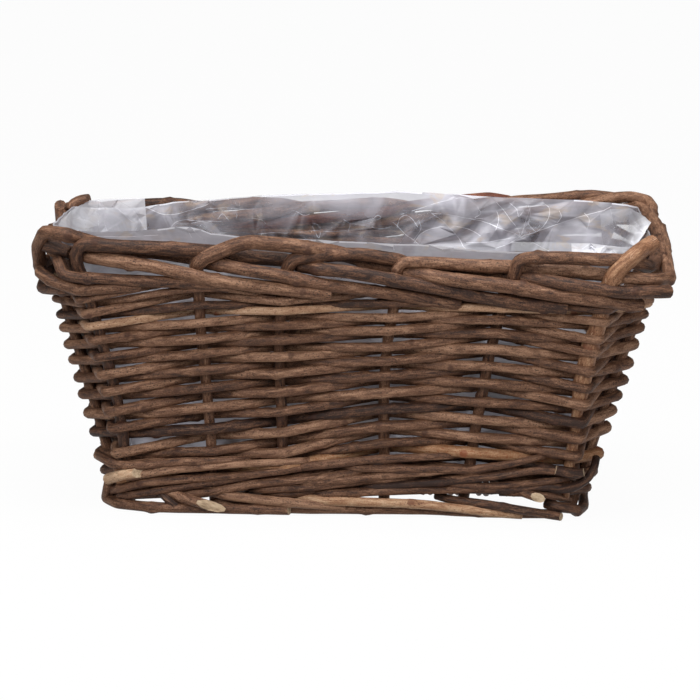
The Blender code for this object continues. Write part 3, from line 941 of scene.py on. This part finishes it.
def wale_points(pixels):
    """A rod of the heavier weaving: tucked in at both ends and close against the stakes between them."""
    last = len(pixels) - 1
    points = []
    for index, (px, py) in enumerate(pixels):
        points.append(seen(px, py, WRAP_OUT * (WALE_END_OUT if index in (0, last) else WALE_OUT)))
        if index in (0, last - 1):
            next_px, next_py = pixels[index + 1]
            rise = min(WALE_RISE / (next_px - px), 0.5)
            share = rise if index == 0 else 1 - rise
            spot = blend_of(px, next_px, share), blend_of(py, next_py, share)
            points.append(seen(*spot, WRAP_OUT * WALE_OUT * WALE_RISE_OUT))
    return points


def build_wale(finishes):
    for seed, (thick, tone, pixels) in enumerate(WALE_RODS):
        made = rod(
            f"wale_rod_{seed + 1:02d}", wale_points(pixels), thick, finishes["bark"], finishes["cut"],
            120 + seed, bend=0.010, taper=0.3, tone=tone, wobble=0.0004, cuts=(0.6, 0.6),
        )


def build_base(finishes):
    film_out = -(WEAVE_OUT + WEAVER_THICK / 2 + LEAN_GAP)
    half_x, half_y, _ = wall_sizes(BASE_HEIGHT)
    stick_end = half_x + film_out - SEAT_GAP
    edge = half_y + film_out - SEAT_GAP - BASE_WEAVER_THICK / 2
    rows = [edge * share for share in BASE_ROWS]
    for number, y in enumerate(rows):
        ends = [Vector((x + WALL_SHIFT, y, BASE_HEIGHT)) for x in (-stick_end, 0, stick_end)]
        made = rod(
            f"base_rod_{number + 1}", ends, BASE_STICK_THICK, finishes["bark"], finishes["cut"], 80 + number,
            tone=0.3, wobble=0.0003, taper=0.05,
        )
        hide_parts(f"base_stick_{number + 1}")
    for seed, name in ((90, "base_weave"), (91, "base_weave_between")):
        weave_base(finishes, name, rows, stick_end, edge, seed)


def weave_base(finishes, name, rows, stick_end, edge, seed):
    """One rod to and fro over and under the base's sticks, the second one between the first one's passes."""
    second = seed % 2
    rise = (BASE_STICK_THICK + BASE_WEAVER_THICK) / 2 + LEAN_GAP
    passes = math.floor(2 * (stick_end - BASE_WEAVER_THICK) / BASE_PITCH)
    points = []
    for number in range(passes + 1 - second):
        x = (number + second / 2 - passes / 2) * BASE_PITCH + WALL_SHIFT
        way = 1 if number % 2 == 0 else -1
        points.append(Vector((x, -edge * way, BASE_HEIGHT)))
        for index, y in enumerate(rows[::way]):
            side = 1 if (index + number + second) % 2 == 0 else -1
            points.append(Vector((x, y, BASE_HEIGHT + rise * side)))
        points.append(Vector((x, edge * way, BASE_HEIGHT)))
    made = rod(
        name, points, BASE_WEAVER_THICK, finishes["bark"], finishes["cut"], seed, bend=0.006, taper=0,
        tone=0.35, wobble=0.0002,
    )
    if not second:
        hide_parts("base_weaver")


# The film's top edge, as shares of the way round and pixel rows of the photograph.
FILM_FLOOR = 0.0228
FILM_INSIDE = 0.0135
FILM_EDGE = (
    (0.0, 230.3), (0.012, 232), (0.030, 231), (0.0425, 229), (0.0520, 227), (0.0600, 226.2), (0.0660, 229),
    (0.0710, 233.7), (0.0800, 235), (0.0925, 237.5), (0.1150, 238.5), (0.1395, 241), (0.1690, 243.8),
    (0.1875, 245), (0.2140, 250.5), (0.2470, 253), (0.2705, 253.8), (0.2913, 253), (0.31, 247),
    (0.326, 238), (0.39, 222), (0.4655, 207), (0.485, 204.5), (0.50, 202.8), (0.522, 200), (0.540, 198.5),
    (0.555, 198), (0.569, 196.6), (0.590, 194.3), (0.608, 192.4), (0.622, 191.2), (0.637, 192.5),
    (0.6486, 192.5), (0.6656, 193.5), (0.6861, 194.4), (0.6986, 195.6), (0.7170, 198), (0.7283, 199.6),
    (0.7397, 200.4), (0.7488, 201.8), (0.7568, 204.5), (0.7655, 207.5), (0.7760, 208.5), (0.7860, 207.5),
    (0.7960, 208), (0.826, 206), (0.89, 213), (0.9655, 224), (0.985, 227), (1.0, 230.3),
)

# Creases that show on the back of the film and on its front strip, in the photograph's pixels; each gets a
# painted highlight.
BACK_CREASES = (
    ((521.5, 236), (497, 226), (465, 217), (432, 212.5)), ((521.5, 236), (512, 220), (497, 202)),
    ((521.5, 236), (566, 221), (618, 206)), ((521.5, 236), (494, 241), (467, 242)),
    ((521.5, 236), (510, 243), (497, 248)), ((521.5, 236), (538, 244), (551, 250)),
    ((521.5, 236), (526, 221), (531, 207)), ((544, 202), (550, 208), (549, 217), (543, 226), (536.5, 231)),
    ((528.5, 205), (531, 214), (529, 224), (536.5, 231)),
    ((478, 206), (481, 213), (475, 217.5), (483, 219)), ((510, 203), (517, 209), (519, 216), (524, 210)),
    ((497, 211), (499, 219), (496, 229)), ((393, 222), (404, 232), (420, 245)),
    ((414, 243), (425, 231), (455, 225), (481, 235)),
    ((397, 228), (400, 218), (406, 215), (413, 219), (418, 226)), ((419, 219), (421, 228), (414, 240)),
    ((412, 210.5), (430, 205), (452, 199), (474, 197.5)),
    ((432, 212.5), (444, 222), (456, 233), (464, 246)), ((375, 217), (378, 215), (381, 217), (377, 219.5)),
    ((372, 226), (380, 228.5), (392, 226)), ((300, 232), (322, 230), (347, 231)),
    ((256, 233.6), (280, 232.5), (308, 231.2)),
    ((170, 229), (176, 222), (186, 219), (200, 221), (222, 220.5)),
    ((192, 222.8), (204, 221.2), (212, 221.6)),
    ((150, 209), (165, 214), (178, 214), (200, 206.5), (209, 203.5)),
    ((206, 208.5), (226, 207.8), (254, 209)), ((218, 218.5), (223, 213.5), (229, 219.5)),
    ((237, 213), (236.5, 217), (238, 214)), ((312, 222), (320, 227), (319, 237), (312, 226)),
    ((344, 219), (350, 224), (348, 232)), ((252, 218), (262, 219.5), (266, 223)),
    ((560, 210), (562, 216), (558, 222)), ((585, 213), (590, 219), (588, 228)),
    ((296, 211), (304, 214.5), (310, 213)), ((120, 212), (131, 216), (139, 224)),
)
FRONT_CREASES = (
    ((212, 227), (214, 233), (223, 242)), ((206, 228), (210, 238)), ((120, 236), (150, 237), (180, 235)),
    ((390, 245), (391, 250)), ((434, 248.5), (437, 254)), ((330, 244), (334, 251)),
)
CREASE_STEPS = 4

# How milky the film is, over its middling milkiness, by shares of the way round.
FILM_CLOUDING = (
    (0.0, 0.2), (0.30, 0.1), (0.46, 0.10), (0.50, 0.22), (0.54, 0.42), (0.595, 0.36), (0.625, -0.22),
    (0.655, -0.25), (0.70, -0.25), (0.735, -0.10), (0.76, 0.15), (0.80, 0.5), (0.97, 0.5), (1.0, 0.2),
)
# Two strips are milkier still, by shares of the way round: the front's above the rim and the back's top.
FRONT_STRIP_END, FRONT_STRIP_MILK = 0.30, 0.72
BACK_STRIP, BACK_STRIP_MILK = (0.583, 0.69), 0.8
FRONT_PIXELS, FRONT_SHARE = (109, 486), 0.2913  # the front's first pixel and width, and its share of the way
FILM_SPREAD = 0.032
FILM_LEVELS = 5
FIELD_TOP, FIELD_GAP = 0.97, 0.45
EDGE_SPACING = 0.014
FLOOR_CORNERS = 90
FILM_CREASE = 0.00017
FILM_HEM = 0.006
FILM_SHARES_KNOWN = 241
CHANCE_CREASE, CREASES_BELOW_HEM = 0.965, 0.25
FACET_BEND = math.radians(38)

# Low down the film lies clear of the rods that swing furthest in. It comes out from one height on, over a
# short way, and its crumples calm down towards the edge.
THICKEST_ROD_HALF, FILM_CLEAR = 0.0036, 0.0012
FILM_OUT_LOW = -(WEAVE_OUT * WEAVE_STRETCH + THICKEST_ROD_HALF + FILM_CLEAR)
BENDS_OUT_AT, BENDS_OUT_OVER = 0.118, 0.03
CALM_AT, CALM_OVER, CALMED = 0.155, 0.02, 0.75
FRONT_CALM = 0.35
CRUMPLE_DEPTH, FLAP_DEPTH = 0.0042, 0.0016


def film_top(share):
    shares, rows = zip(*FILM_EDGE)
    return height_seen_at(share, np.interp(share, shares, rows), -FILM_INSIDE)


def back_spot(px, py):
    """How far round and how high on the film's back a pixel of the photograph lies."""
    height = HEIGHT * 0.8
    for _ in range(4):
        half_x, half_y, corner = wall_sizes(height)
        point = at_depth(px, py, half_y - FILM_INSIDE)
        height = point.z
    along = 0.5 - (point.x - WALL_SHIFT) / (half_x - corner) / 2
    share = (sum(RUNS[:4]) + min(max(along, 0), 1) * RUNS[4]) / ROUND
    return share, height_seen_at(share, py, -FILM_INSIDE)


def front_spot(px, py):
    share = (px - FRONT_PIXELS[0]) / FRONT_PIXELS[1] * FRONT_SHARE
    return share, height_seen_at(share, py, -FILM_INSIDE)


def rounded(line):
    """The line through the same points, with its corners rounded off."""
    spots = [Vector(spot) for spot in line]
    spots = [2 * spots[0] - spots[1], *spots, 2 * spots[-1] - spots[-2]]
    path = []
    for before, start, end, after in zip(spots, spots[1:], spots[2:], spots[3:]):
        for step in range(CREASE_STEPS):
            t = step / CREASE_STEPS
            bend = (2 * before - 5 * start + 4 * end - after) * t * t
            swing = (3 * start - before - 3 * end + after) * t * t * t
            path.append(start + ((end - before) * t + bend + swing) / 2)
    return [*path, spots[-2]]


def drawn_creases(tops):
    """The film's creases from the photograph, laid flat: how far round and how far up, in shares."""
    corners, creases = [], []
    for lines, spot_of in ((BACK_CREASES, back_spot), (FRONT_CREASES, front_spot)):
        for line in lines:
            first = len(corners)
            for px, py in rounded(line):
                share, height = spot_of(px, py)
                level = (height - FILM_FLOOR) / (tops(share) - FILM_FLOOR)
                corners.append((share, min(level, 1 - 2 * FILM_HEM)))
            creases += [(index, index + 1) for index in range(first, len(corners) - 1)]
    return corners, creases


def field_corners(drawn):
    """Corners scattered over the rest of the film, clear of the drawn creases."""
    corners = []
    columns = round(ROUND / FILM_SPREAD)
    for column in range(columns):
        for level in range(FILM_LEVELS):
            one, other = column * 3.1, level * 5.3
            across = (column + 0.5 + 0.42 * math.sin(one * 7 + other * 13)) / columns
            up = (level + 0.5 + 0.40 * math.cos(one * 11 + other * 5)) / FILM_LEVELS
            nearest = min(math.hypot((across - a) * ROUND, (up - b) * HEIGHT) for a, b in drawn)
            if nearest > FILM_SPREAD * FIELD_GAP and up < FIELD_TOP:
                corners.append((across, up))
    return corners


def film_layout(tops):
    """The corners and creases of the crumpled film, laid flat: how far round and how far up, in shares."""
    corners, creases = drawn_creases(tops)
    corners += field_corners(corners)
    edge = [share for share, _ in FILM_EDGE]
    for first, last in zip(edge, edge[1:]):
        steps = max(1, round((last - first) * ROUND / EDGE_SPACING))
        for step in range(steps):
            share = blend_of(first, last, step / steps)
            corners += [(share, 1.0), (share, 1 - FILM_HEM)]
    corners += [(1.0, 1.0), (1.0, 1 - FILM_HEM)]
    corners += [(column / FLOOR_CORNERS, 0.0) for column in range(FLOOR_CORNERS + 1)]
    corners += [(side, level / FILM_LEVELS) for side in (0.0, 1.0) for level in range(1, FILM_LEVELS)]
    return corners, creases


def crumpled(name, flat, creases, outline, place_at, tone_at, finishes, hem_level, width=1):
    """A sheet of flat facets between corners, with some of its folds marked to become sharp creases with a
    painted highlight.

    The width is how many heights of the sheet its flat pattern is wide, where both run from 0 to 1.
    """
    even = [Vector((across * width, up)) for across, up in flat]
    laid = geometry.delaunay_2d_cdt(even, creases, outline, 1 if outline else 0, 1e-7)
    spots, edges, faces, _, whence, _ = laid
    spots = [Vector((spot.x / width, spot.y)) for spot in spots]
    mesh = bpy.data.meshes.new(name)
    mesh.from_pydata([tuple(place_at(spot)) for spot in spots], [], faces)
    for finish in finishes:
        mesh.materials.append(finish)
    bright = {tuple(sorted(edge)) for edge, sources in zip(edges, whence) if sources}
    marks = mesh.attributes.new("is_crease", "FLOAT", "EDGE")
    for index, edge in enumerate(mesh.edges):
        pair = tuple(sorted(edge.vertices))
        here = (spots[pair[0]] + spots[pair[1]]) / 2
        by_chance = math.sin(here.x * 977 + here.y * 613) > CHANCE_CREASE
        marks.data[index].value = pair in bright or (by_chance and here.y < hem_level - CREASES_BELOW_HEM)
    add_values(mesh, "film_tone", "FLOAT", "value", np.array([tone_at(spot) for spot in spots]))
    for index, face in enumerate(faces):
        middle = sum((spots[k] for k in face), Vector((0, 0))) / len(face)
        if middle.y > hem_level:
            mesh.polygons[index].material_index = 2
    made = bpy.data.objects.new(name, mesh)
    pick(made)
    return made


def finish_sheet(made):
    """Turns the marked folds into narrow creases in the painted-highlight finish, and rounds the facets
    between them a little.
    """
    mesh = made.data
    chosen = [index for index, mark in enumerate(mesh.attributes["is_crease"].data) if mark.value > 0.5]
    bpy.ops.object.mode_set(mode="EDIT")
    bpy.ops.mesh.select_mode(type="EDGE")
    bpy.ops.mesh.select_all(action="DESELECT")
    bpy.ops.object.mode_set(mode="OBJECT")
    for index in chosen:
        mesh.edges[index].select = True
    bpy.ops.object.mode_set(mode="EDIT")
    bpy.ops.mesh.bevel(offset=FILM_CREASE, segments=1, affect="EDGES", material=1, clamp_overlap=False)
    bpy.ops.mesh.select_all(action="SELECT")
    bpy.ops.mesh.subdivide(number_cuts=3, smoothness=0.35)
    bpy.ops.mesh.quads_convert_to_tris()
    bpy.ops.object.mode_set(mode="OBJECT")
    mesh.attributes.remove(mesh.attributes["is_crease"])
    for vertex in mesh.vertices:
        spot = vertex.co
        bulge = noise.noise(spot * 70) * 0.0005 + noise.noise(spot * 170) * 0.00025
        vertex.co = spot * (1 + bulge / max(spot.length, 0.05))
    bpy.ops.object.shade_smooth_by_angle(angle=FACET_BEND)
    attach(made, "liner")


def clamp(value):
    return min(max(value, 0), 1)


def bag_place(share, level, top):
    """Where a point of the flat film lies on the bag: against the weave, crumpled inward here and there."""
    height = blend_of(FILM_FLOOR, top, level)
    out = blend_of(FILM_OUT_LOW, -FILM_INSIDE, clamp((height - BENDS_OUT_AT) / BENDS_OUT_OVER))
    calm = 1 - CALMED * clamp((height - CALM_AT) / CALM_OVER)
    calm *= FRONT_CALM if share < FRONT_STRIP_END else 1
    if level > 1 - 3 * FILM_HEM:
        calm = 0
    inward = CRUMPLE_DEPTH * (0.5 + 0.5 * math.sin(share * 271 + level * 43)) * calm
    inward *= min(1, level * 6) * min(1, 40 * share, 40 * (1 - share))
    return place(share % 1, height, out - inward)


def bag_tone(spot):
    """How milky the film is at a point of it, laid flat."""
    share, level = spot
    tone = np.interp(share, *zip(*FILM_CLOUDING))
    if share < FRONT_STRIP_END:
        tone += FRONT_STRIP_MILK * clamp((level - 0.82) / 0.04)
    if BACK_STRIP[0] < share < BACK_STRIP[1]:
        tone += BACK_STRIP_MILK * clamp((level - 0.93) / 0.02)
    return tone + 0.22 * math.sin(share * 853 + level * 211)


def build_film(finish, folded, crease, hem):
    """One loose bag of film: it stands on the base, lies against the weave and sticks up past the border."""
    known = np.linspace(0, 1, FILM_SHARES_KNOWN)
    heights = [film_top(share) for share in known]

    def tops(share):
        return np.interp(share, known, heights)

    def place_at(spot):
        return bag_place(spot.x, spot.y, tops(spot.x))

    corners, creases = film_layout(tops)
    bag = crumpled(
        "film_bag", corners, creases, [], place_at, bag_tone, (finish, crease, hem), 1 - FILM_HEM * 0.99,
        width=ROUND / HEIGHT,
    )
    merge_doubles(1e-5)
    close_film_floor(bag)
    finish_sheet(bag)
    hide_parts("film_floor", "film_front", "film_right", "film_back", "film_left")
    flaps = [build_flap(name, *shape, (folded, crease)) for name, shape in FILM_FLAPS.items()]


def close_film_floor(bag):
    """Fills the bag's foot with a flat floor."""
    bpy.ops.object.mode_set(mode="EDIT")
    bpy.ops.mesh.select_mode(type="VERT")
    bpy.ops.mesh.select_all(action="DESELECT")
    bpy.ops.object.mode_set(mode="OBJECT")
    for vertex in bag.data.vertices:
        vertex.select = vertex.co.z < FILM_FLOOR + 0.0004
    bpy.ops.object.mode_set(mode="EDIT")
    bpy.ops.mesh.select_mode(type="EDGE")
    bpy.ops.mesh.edge_face_add()
    bpy.ops.mesh.normals_make_consistent(inside=False)
    bpy.ops.object.mode_set(mode="OBJECT")


# Folded-over parts of the film in the photograph's pixels: the outline with how far back each corner
# lies, the creases, and the milky places with how far they reach and how milky they are.
FILM_FLAPS = {
    "film_left_fold": (
        ((56, 227, -0.06), (63, 217.5, -0.03), (72, 210, 0.01), (81, 205, 0.045), (90, 200, 0.07),
         (99, 199.5, 0.075), (118, 199, 0.080), (144.7, 198.3, 0.084), (146, 215, 0.080),
         (147.5, 232, 0.074), (132, 241, 0.055), (99, 240, 0.02), (84, 239, -0.04), (70, 234, -0.06)),
        (((99, 199.5), (98, 213), (99, 240)), ((99, 213), (115, 208), (130, 220), (146, 231)),
         ((72, 210), (84, 217), (98, 213)), ((84, 217), (86, 229), (84, 239)),
         ((63, 217.5), (74, 219), (84, 217)), ((88, 203), (93, 209), (98, 213)),
         ((104, 222), (107, 231), (106, 238)), ((122, 203), (133, 210), (141, 222))),
        ((76, 222, 26, 0.25), (93, 208, 12, 0.20), (122, 202, 20, 0.10), (95, 232, 14, 0.1),
         (118, 226, 18, -0.4)),
    ),
    "film_right_fold": (
        ((600, 213.8, 0.075), (610, 209.5, 0.070), (630, 208, 0.060), (641, 214, 0.02), (651, 222.5, -0.03),
         (645, 233, -0.045), (635, 247, -0.06), (620, 250, -0.02), (604, 247, 0.055), (601, 228, 0.07)),
        (((610, 209.5), (613, 224), (612, 246)), ((641, 214), (632, 219), (624, 227), (621, 240)),
         ((650, 222.5), (641, 228), (634, 235), (628, 247)), ((612, 226), (622, 229), (632, 219))),
        ((641, 235, 8, 1.0), (648, 227, 8, 1.0), (633, 244, 8, 0.8), (617, 215, 10, 0.35),
         (612, 236, 18, -1.1), (624, 229, 11, -0.9)),
    ),
    "film_front_flap": (
        ((571, 243.8, -0.088), (590, 243.8, -0.088), (606, 245.5, -0.088), (622, 247, -0.086),
         (640, 246, -0.080), (634, 258, -0.084), (620, 259, -0.092), (598, 258.5, -0.093),
         (572, 257, -0.092)),
        (((571, 248), (592, 250), (606, 249), (636, 251)), ((590, 243.8), (592, 250), (598, 258.5)),
         ((606, 249), (614, 252), (620, 259))),
        ((590, 249, 26, 0.35), (620, 251, 20, 0.25)),
    ),
}


def build_flap(name, outline, creases, milky_spots, finishes):
    flat = [(px, py) for px, py, _ in outline]
    folds = []
    for line in creases:
        first = len(flat)
        flat += rounded(line)
        folds += [(index, index + 1) for index in range(first, len(flat) - 1)]

    def place_at(spot):
        weights = [1 / (math.hypot(px - spot.x, py - spot.y) + 0.01) ** 3 for px, py, _ in outline]
        depth = sum(weight * far for weight, (_, _, far) in zip(weights, outline)) / sum(weights)
        crumple = FLAP_DEPTH * (0.5 + 0.5 * math.sin(spot.x * 3.1 + spot.y * 1.7))
        return at_depth(spot.x, spot.y, depth - crumple)

    def tone_at(spot):
        tone = 0.12 * math.sin(spot.x * 1.3 + spot.y * 2.1)
        for px, py, reach, amount in milky_spots:
            tone += amount * max(0, 1 - ((spot.x - px) ** 2 + (spot.y - py) ** 2) / reach**2)
        return tone

    border = [list(range(len(outline)))]
    made = crumpled(name, flat, folds, border, place_at, tone_at, finishes, PHOTO_SIZE)
    finish_sheet(made)
    return made


# Floor, backdrop and light.
FLOOR_SIZE, FLOOR_HEIGHT = 12, -0.0002
SHADED_FLOOR = 1.05  # how far back the floor that shows through the film is shaded
FILM_SHADE = 0.75
FLOOR_GLOW, FLOOR_SHOWN = 1.04, 0.93
WALL_GLOW, WALL_LIGHT = 0.86, 0.14


def looked_at_by(tree, kinds):
    """1 for rays of any of these kinds and otherwise 0, and how many films a ray has come through."""
    path = Socket(tree, None).node("ShaderNodeLightPath")
    rays = [Socket(tree, path.link.node.outputs[kind]) for kind in kinds]
    found = rays[0]
    for ray in rays[1:]:
        found = found.maths("MAXIMUM", ray)
    return found, Socket(tree, path.link.node.outputs["Transparent Depth"])


def white_floor_material():
    """Bright white where it is looked at, and light grey for the light that falls back on the basket."""
    made, tree, shader, start = new_material("white_floor")
    tree.nodes.remove(shader)
    spot = start.node("ShaderNodeTexCoord", take=3)
    paper = spot.grain(3.0, 2, 0.5).colour((0.0, (0.34, 0.34, 0.34)), (1.0, (0.36, 0.36, 0.36)))
    lit = start.node("ShaderNodeBsdfDiffuse", Color=paper)
    glow = start.node("ShaderNodeEmission", Color=(1, 1, 1, 1), Strength=FLOOR_GLOW)
    looked_at, films = looked_at_by(tree, ("Is Camera Ray", "Is Glossy Ray", "Is Transmission Ray"))
    back = spot.node("ShaderNodeSeparateXYZ", take=1, Vector=spot)
    near = 1 - back.between(SHADED_FLOOR * 0.9, SHADED_FLOOR)
    looked_at = looked_at * (1 - films.between(0.4, 0.6) * near * FILM_SHADE)
    mixed = start.node("ShaderNodeMixShader", i_0=looked_at * FLOOR_SHOWN, i_1=lit, i_2=glow)
    tree.links.new(mixed.link, tree.nodes["Material Output"].inputs["Surface"])
    return made


def build_stage():
    bpy.ops.object.select_all(action="DESELECT")
    bpy.ops.mesh.primitive_plane_add(size=FLOOR_SIZE, location=(0, 0, FLOOR_HEIGHT))
    floor = bpy.context.object
    floor.name = "floor"
    floor.data.materials.append(white_floor_material())
    world = bpy.data.worlds.new("studio")
    bpy.context.scene.world = world
    world.use_nodes = True
    tree = world.node_tree
    backdrop = tree.nodes["Background"]
    looked_at, _ = looked_at_by(tree, ("Is Camera Ray",))
    join(tree, backdrop, Strength=looked_at * WALL_GLOW + WALL_LIGHT, Color=(1, 1, 1, 1))


def soft_box(name, place_at, aim, size, power):
    light = bpy.data.lights.new(name, "AREA")
    light.shape = "RECTANGLE"
    light.size, light.size_y = size
    light.energy = power
    made = bpy.data.objects.new(name, light)
    bpy.context.scene.collection.objects.link(made)
    made.location = place_at
    made.rotation_euler = (Vector(aim) - Vector(place_at)).to_track_quat("-Z", "Y").to_euler()


SOFT_BOXES = {
    "overhead": ((0, -0.35, 1.4), (1.1, 0.8), 20),
    "front_left": ((-1.1, -1.9, 1.2), (0.9, 0.9), 25),
    "front_right": ((1.4, -1.7, 1.0), (0.9, 0.9), 14),
}
LIT_SPOT = (0, 0, 0.1)

# Each kind of bark: its name, three colours from deep to pale, its specks' colour and how many there are, its
# scars' colour, and, where they differ, how much its rubbed places show and their colour.
BARKS = {
    "bark": (
        "willow_bark", (0.026, 0.0110, 0.0070), (0.150, 0.070, 0.0385), (0.375, 0.212, 0.130),
        (0.014, 0.007, 0.005), 1.15, (0.050, 0.018, 0.010),
    ),
    "golden": (
        "golden_bark", (0.17, 0.075, 0.038), (0.42, 0.24, 0.14), (0.62, 0.42, 0.28),
        (0.13, 0.03, 0.012), 1.4, (0.20, 0.05, 0.02),
    ),
    "orange": (
        "orange_bark", (0.15, 0.055, 0.022), (0.33, 0.165, 0.08), (0.52, 0.32, 0.19),
        (0.27, 0.065, 0.015), 1.8, (0.22, 0.05, 0.02), 0.65, (0.26, 0.075, 0.022, 1),
    ),
    "peeled": (
        "half_peeled_rod", (0.17, 0.070, 0.034), (0.40, 0.215, 0.118), (0.66, 0.46, 0.30),
        (0.07, 0.022, 0.012), 0.7, (0.15, 0.05, 0.025), 0.9,
    ),
    "rusty": (
        "rusty_bark", (0.07, 0.018, 0.010), (0.20, 0.065, 0.035), (0.36, 0.165, 0.095),
        (0.05, 0.012, 0.008), 0.8, (0.08, 0.02, 0.01),
    ),
}

# The film's other looks: how much they hide, their colours, how cloudy they are, and how far creases fade;
# the creases' colours are a painted highlight.
CREASE_HIGHLIGHT_LOOK = ("film_crease", 0.66, ((0.40, 0.40, 0.44), (0.58, 0.58, 0.63), (0.84, 0.84, 0.90)), 1.0, 0.35)
FOLDED_LOOK = ("folded_film", 0.58, ((0.27, 0.265, 0.30), (0.47, 0.465, 0.50), (0.92, 0.92, 0.97)), 0.45)
HEM_LOOK = ("film_hem", 0.75, ((0.45, 0.45, 0.49), (0.66, 0.66, 0.71), (0.86, 0.86, 0.92)), 0.5)


def main():
    set_camera()
    bpy.context.scene.view_settings.view_transform = "Standard"
    finishes = {name: bark_material(*look) for name, look in BARKS.items()}
    finishes["cut"] = cut_wood_material()
    build_siding(finishes)
    build_short_siding(finishes)
    build_stakes(finishes)
    build_foot(finishes)
    build_wale(finishes)
    build_base(finishes)
    crease, folded, hem = (film_material(*look) for look in (CREASE_HIGHLIGHT_LOOK, FOLDED_LOOK, HEM_LOOK))
    build_film(film_material("film", 0.46), folded, crease, hem)
    build_stage()
    for name, (place_at, size, power) in SOFT_BOXES.items():
        soft_box(name, place_at, LIT_SPOT, size, power)


main()
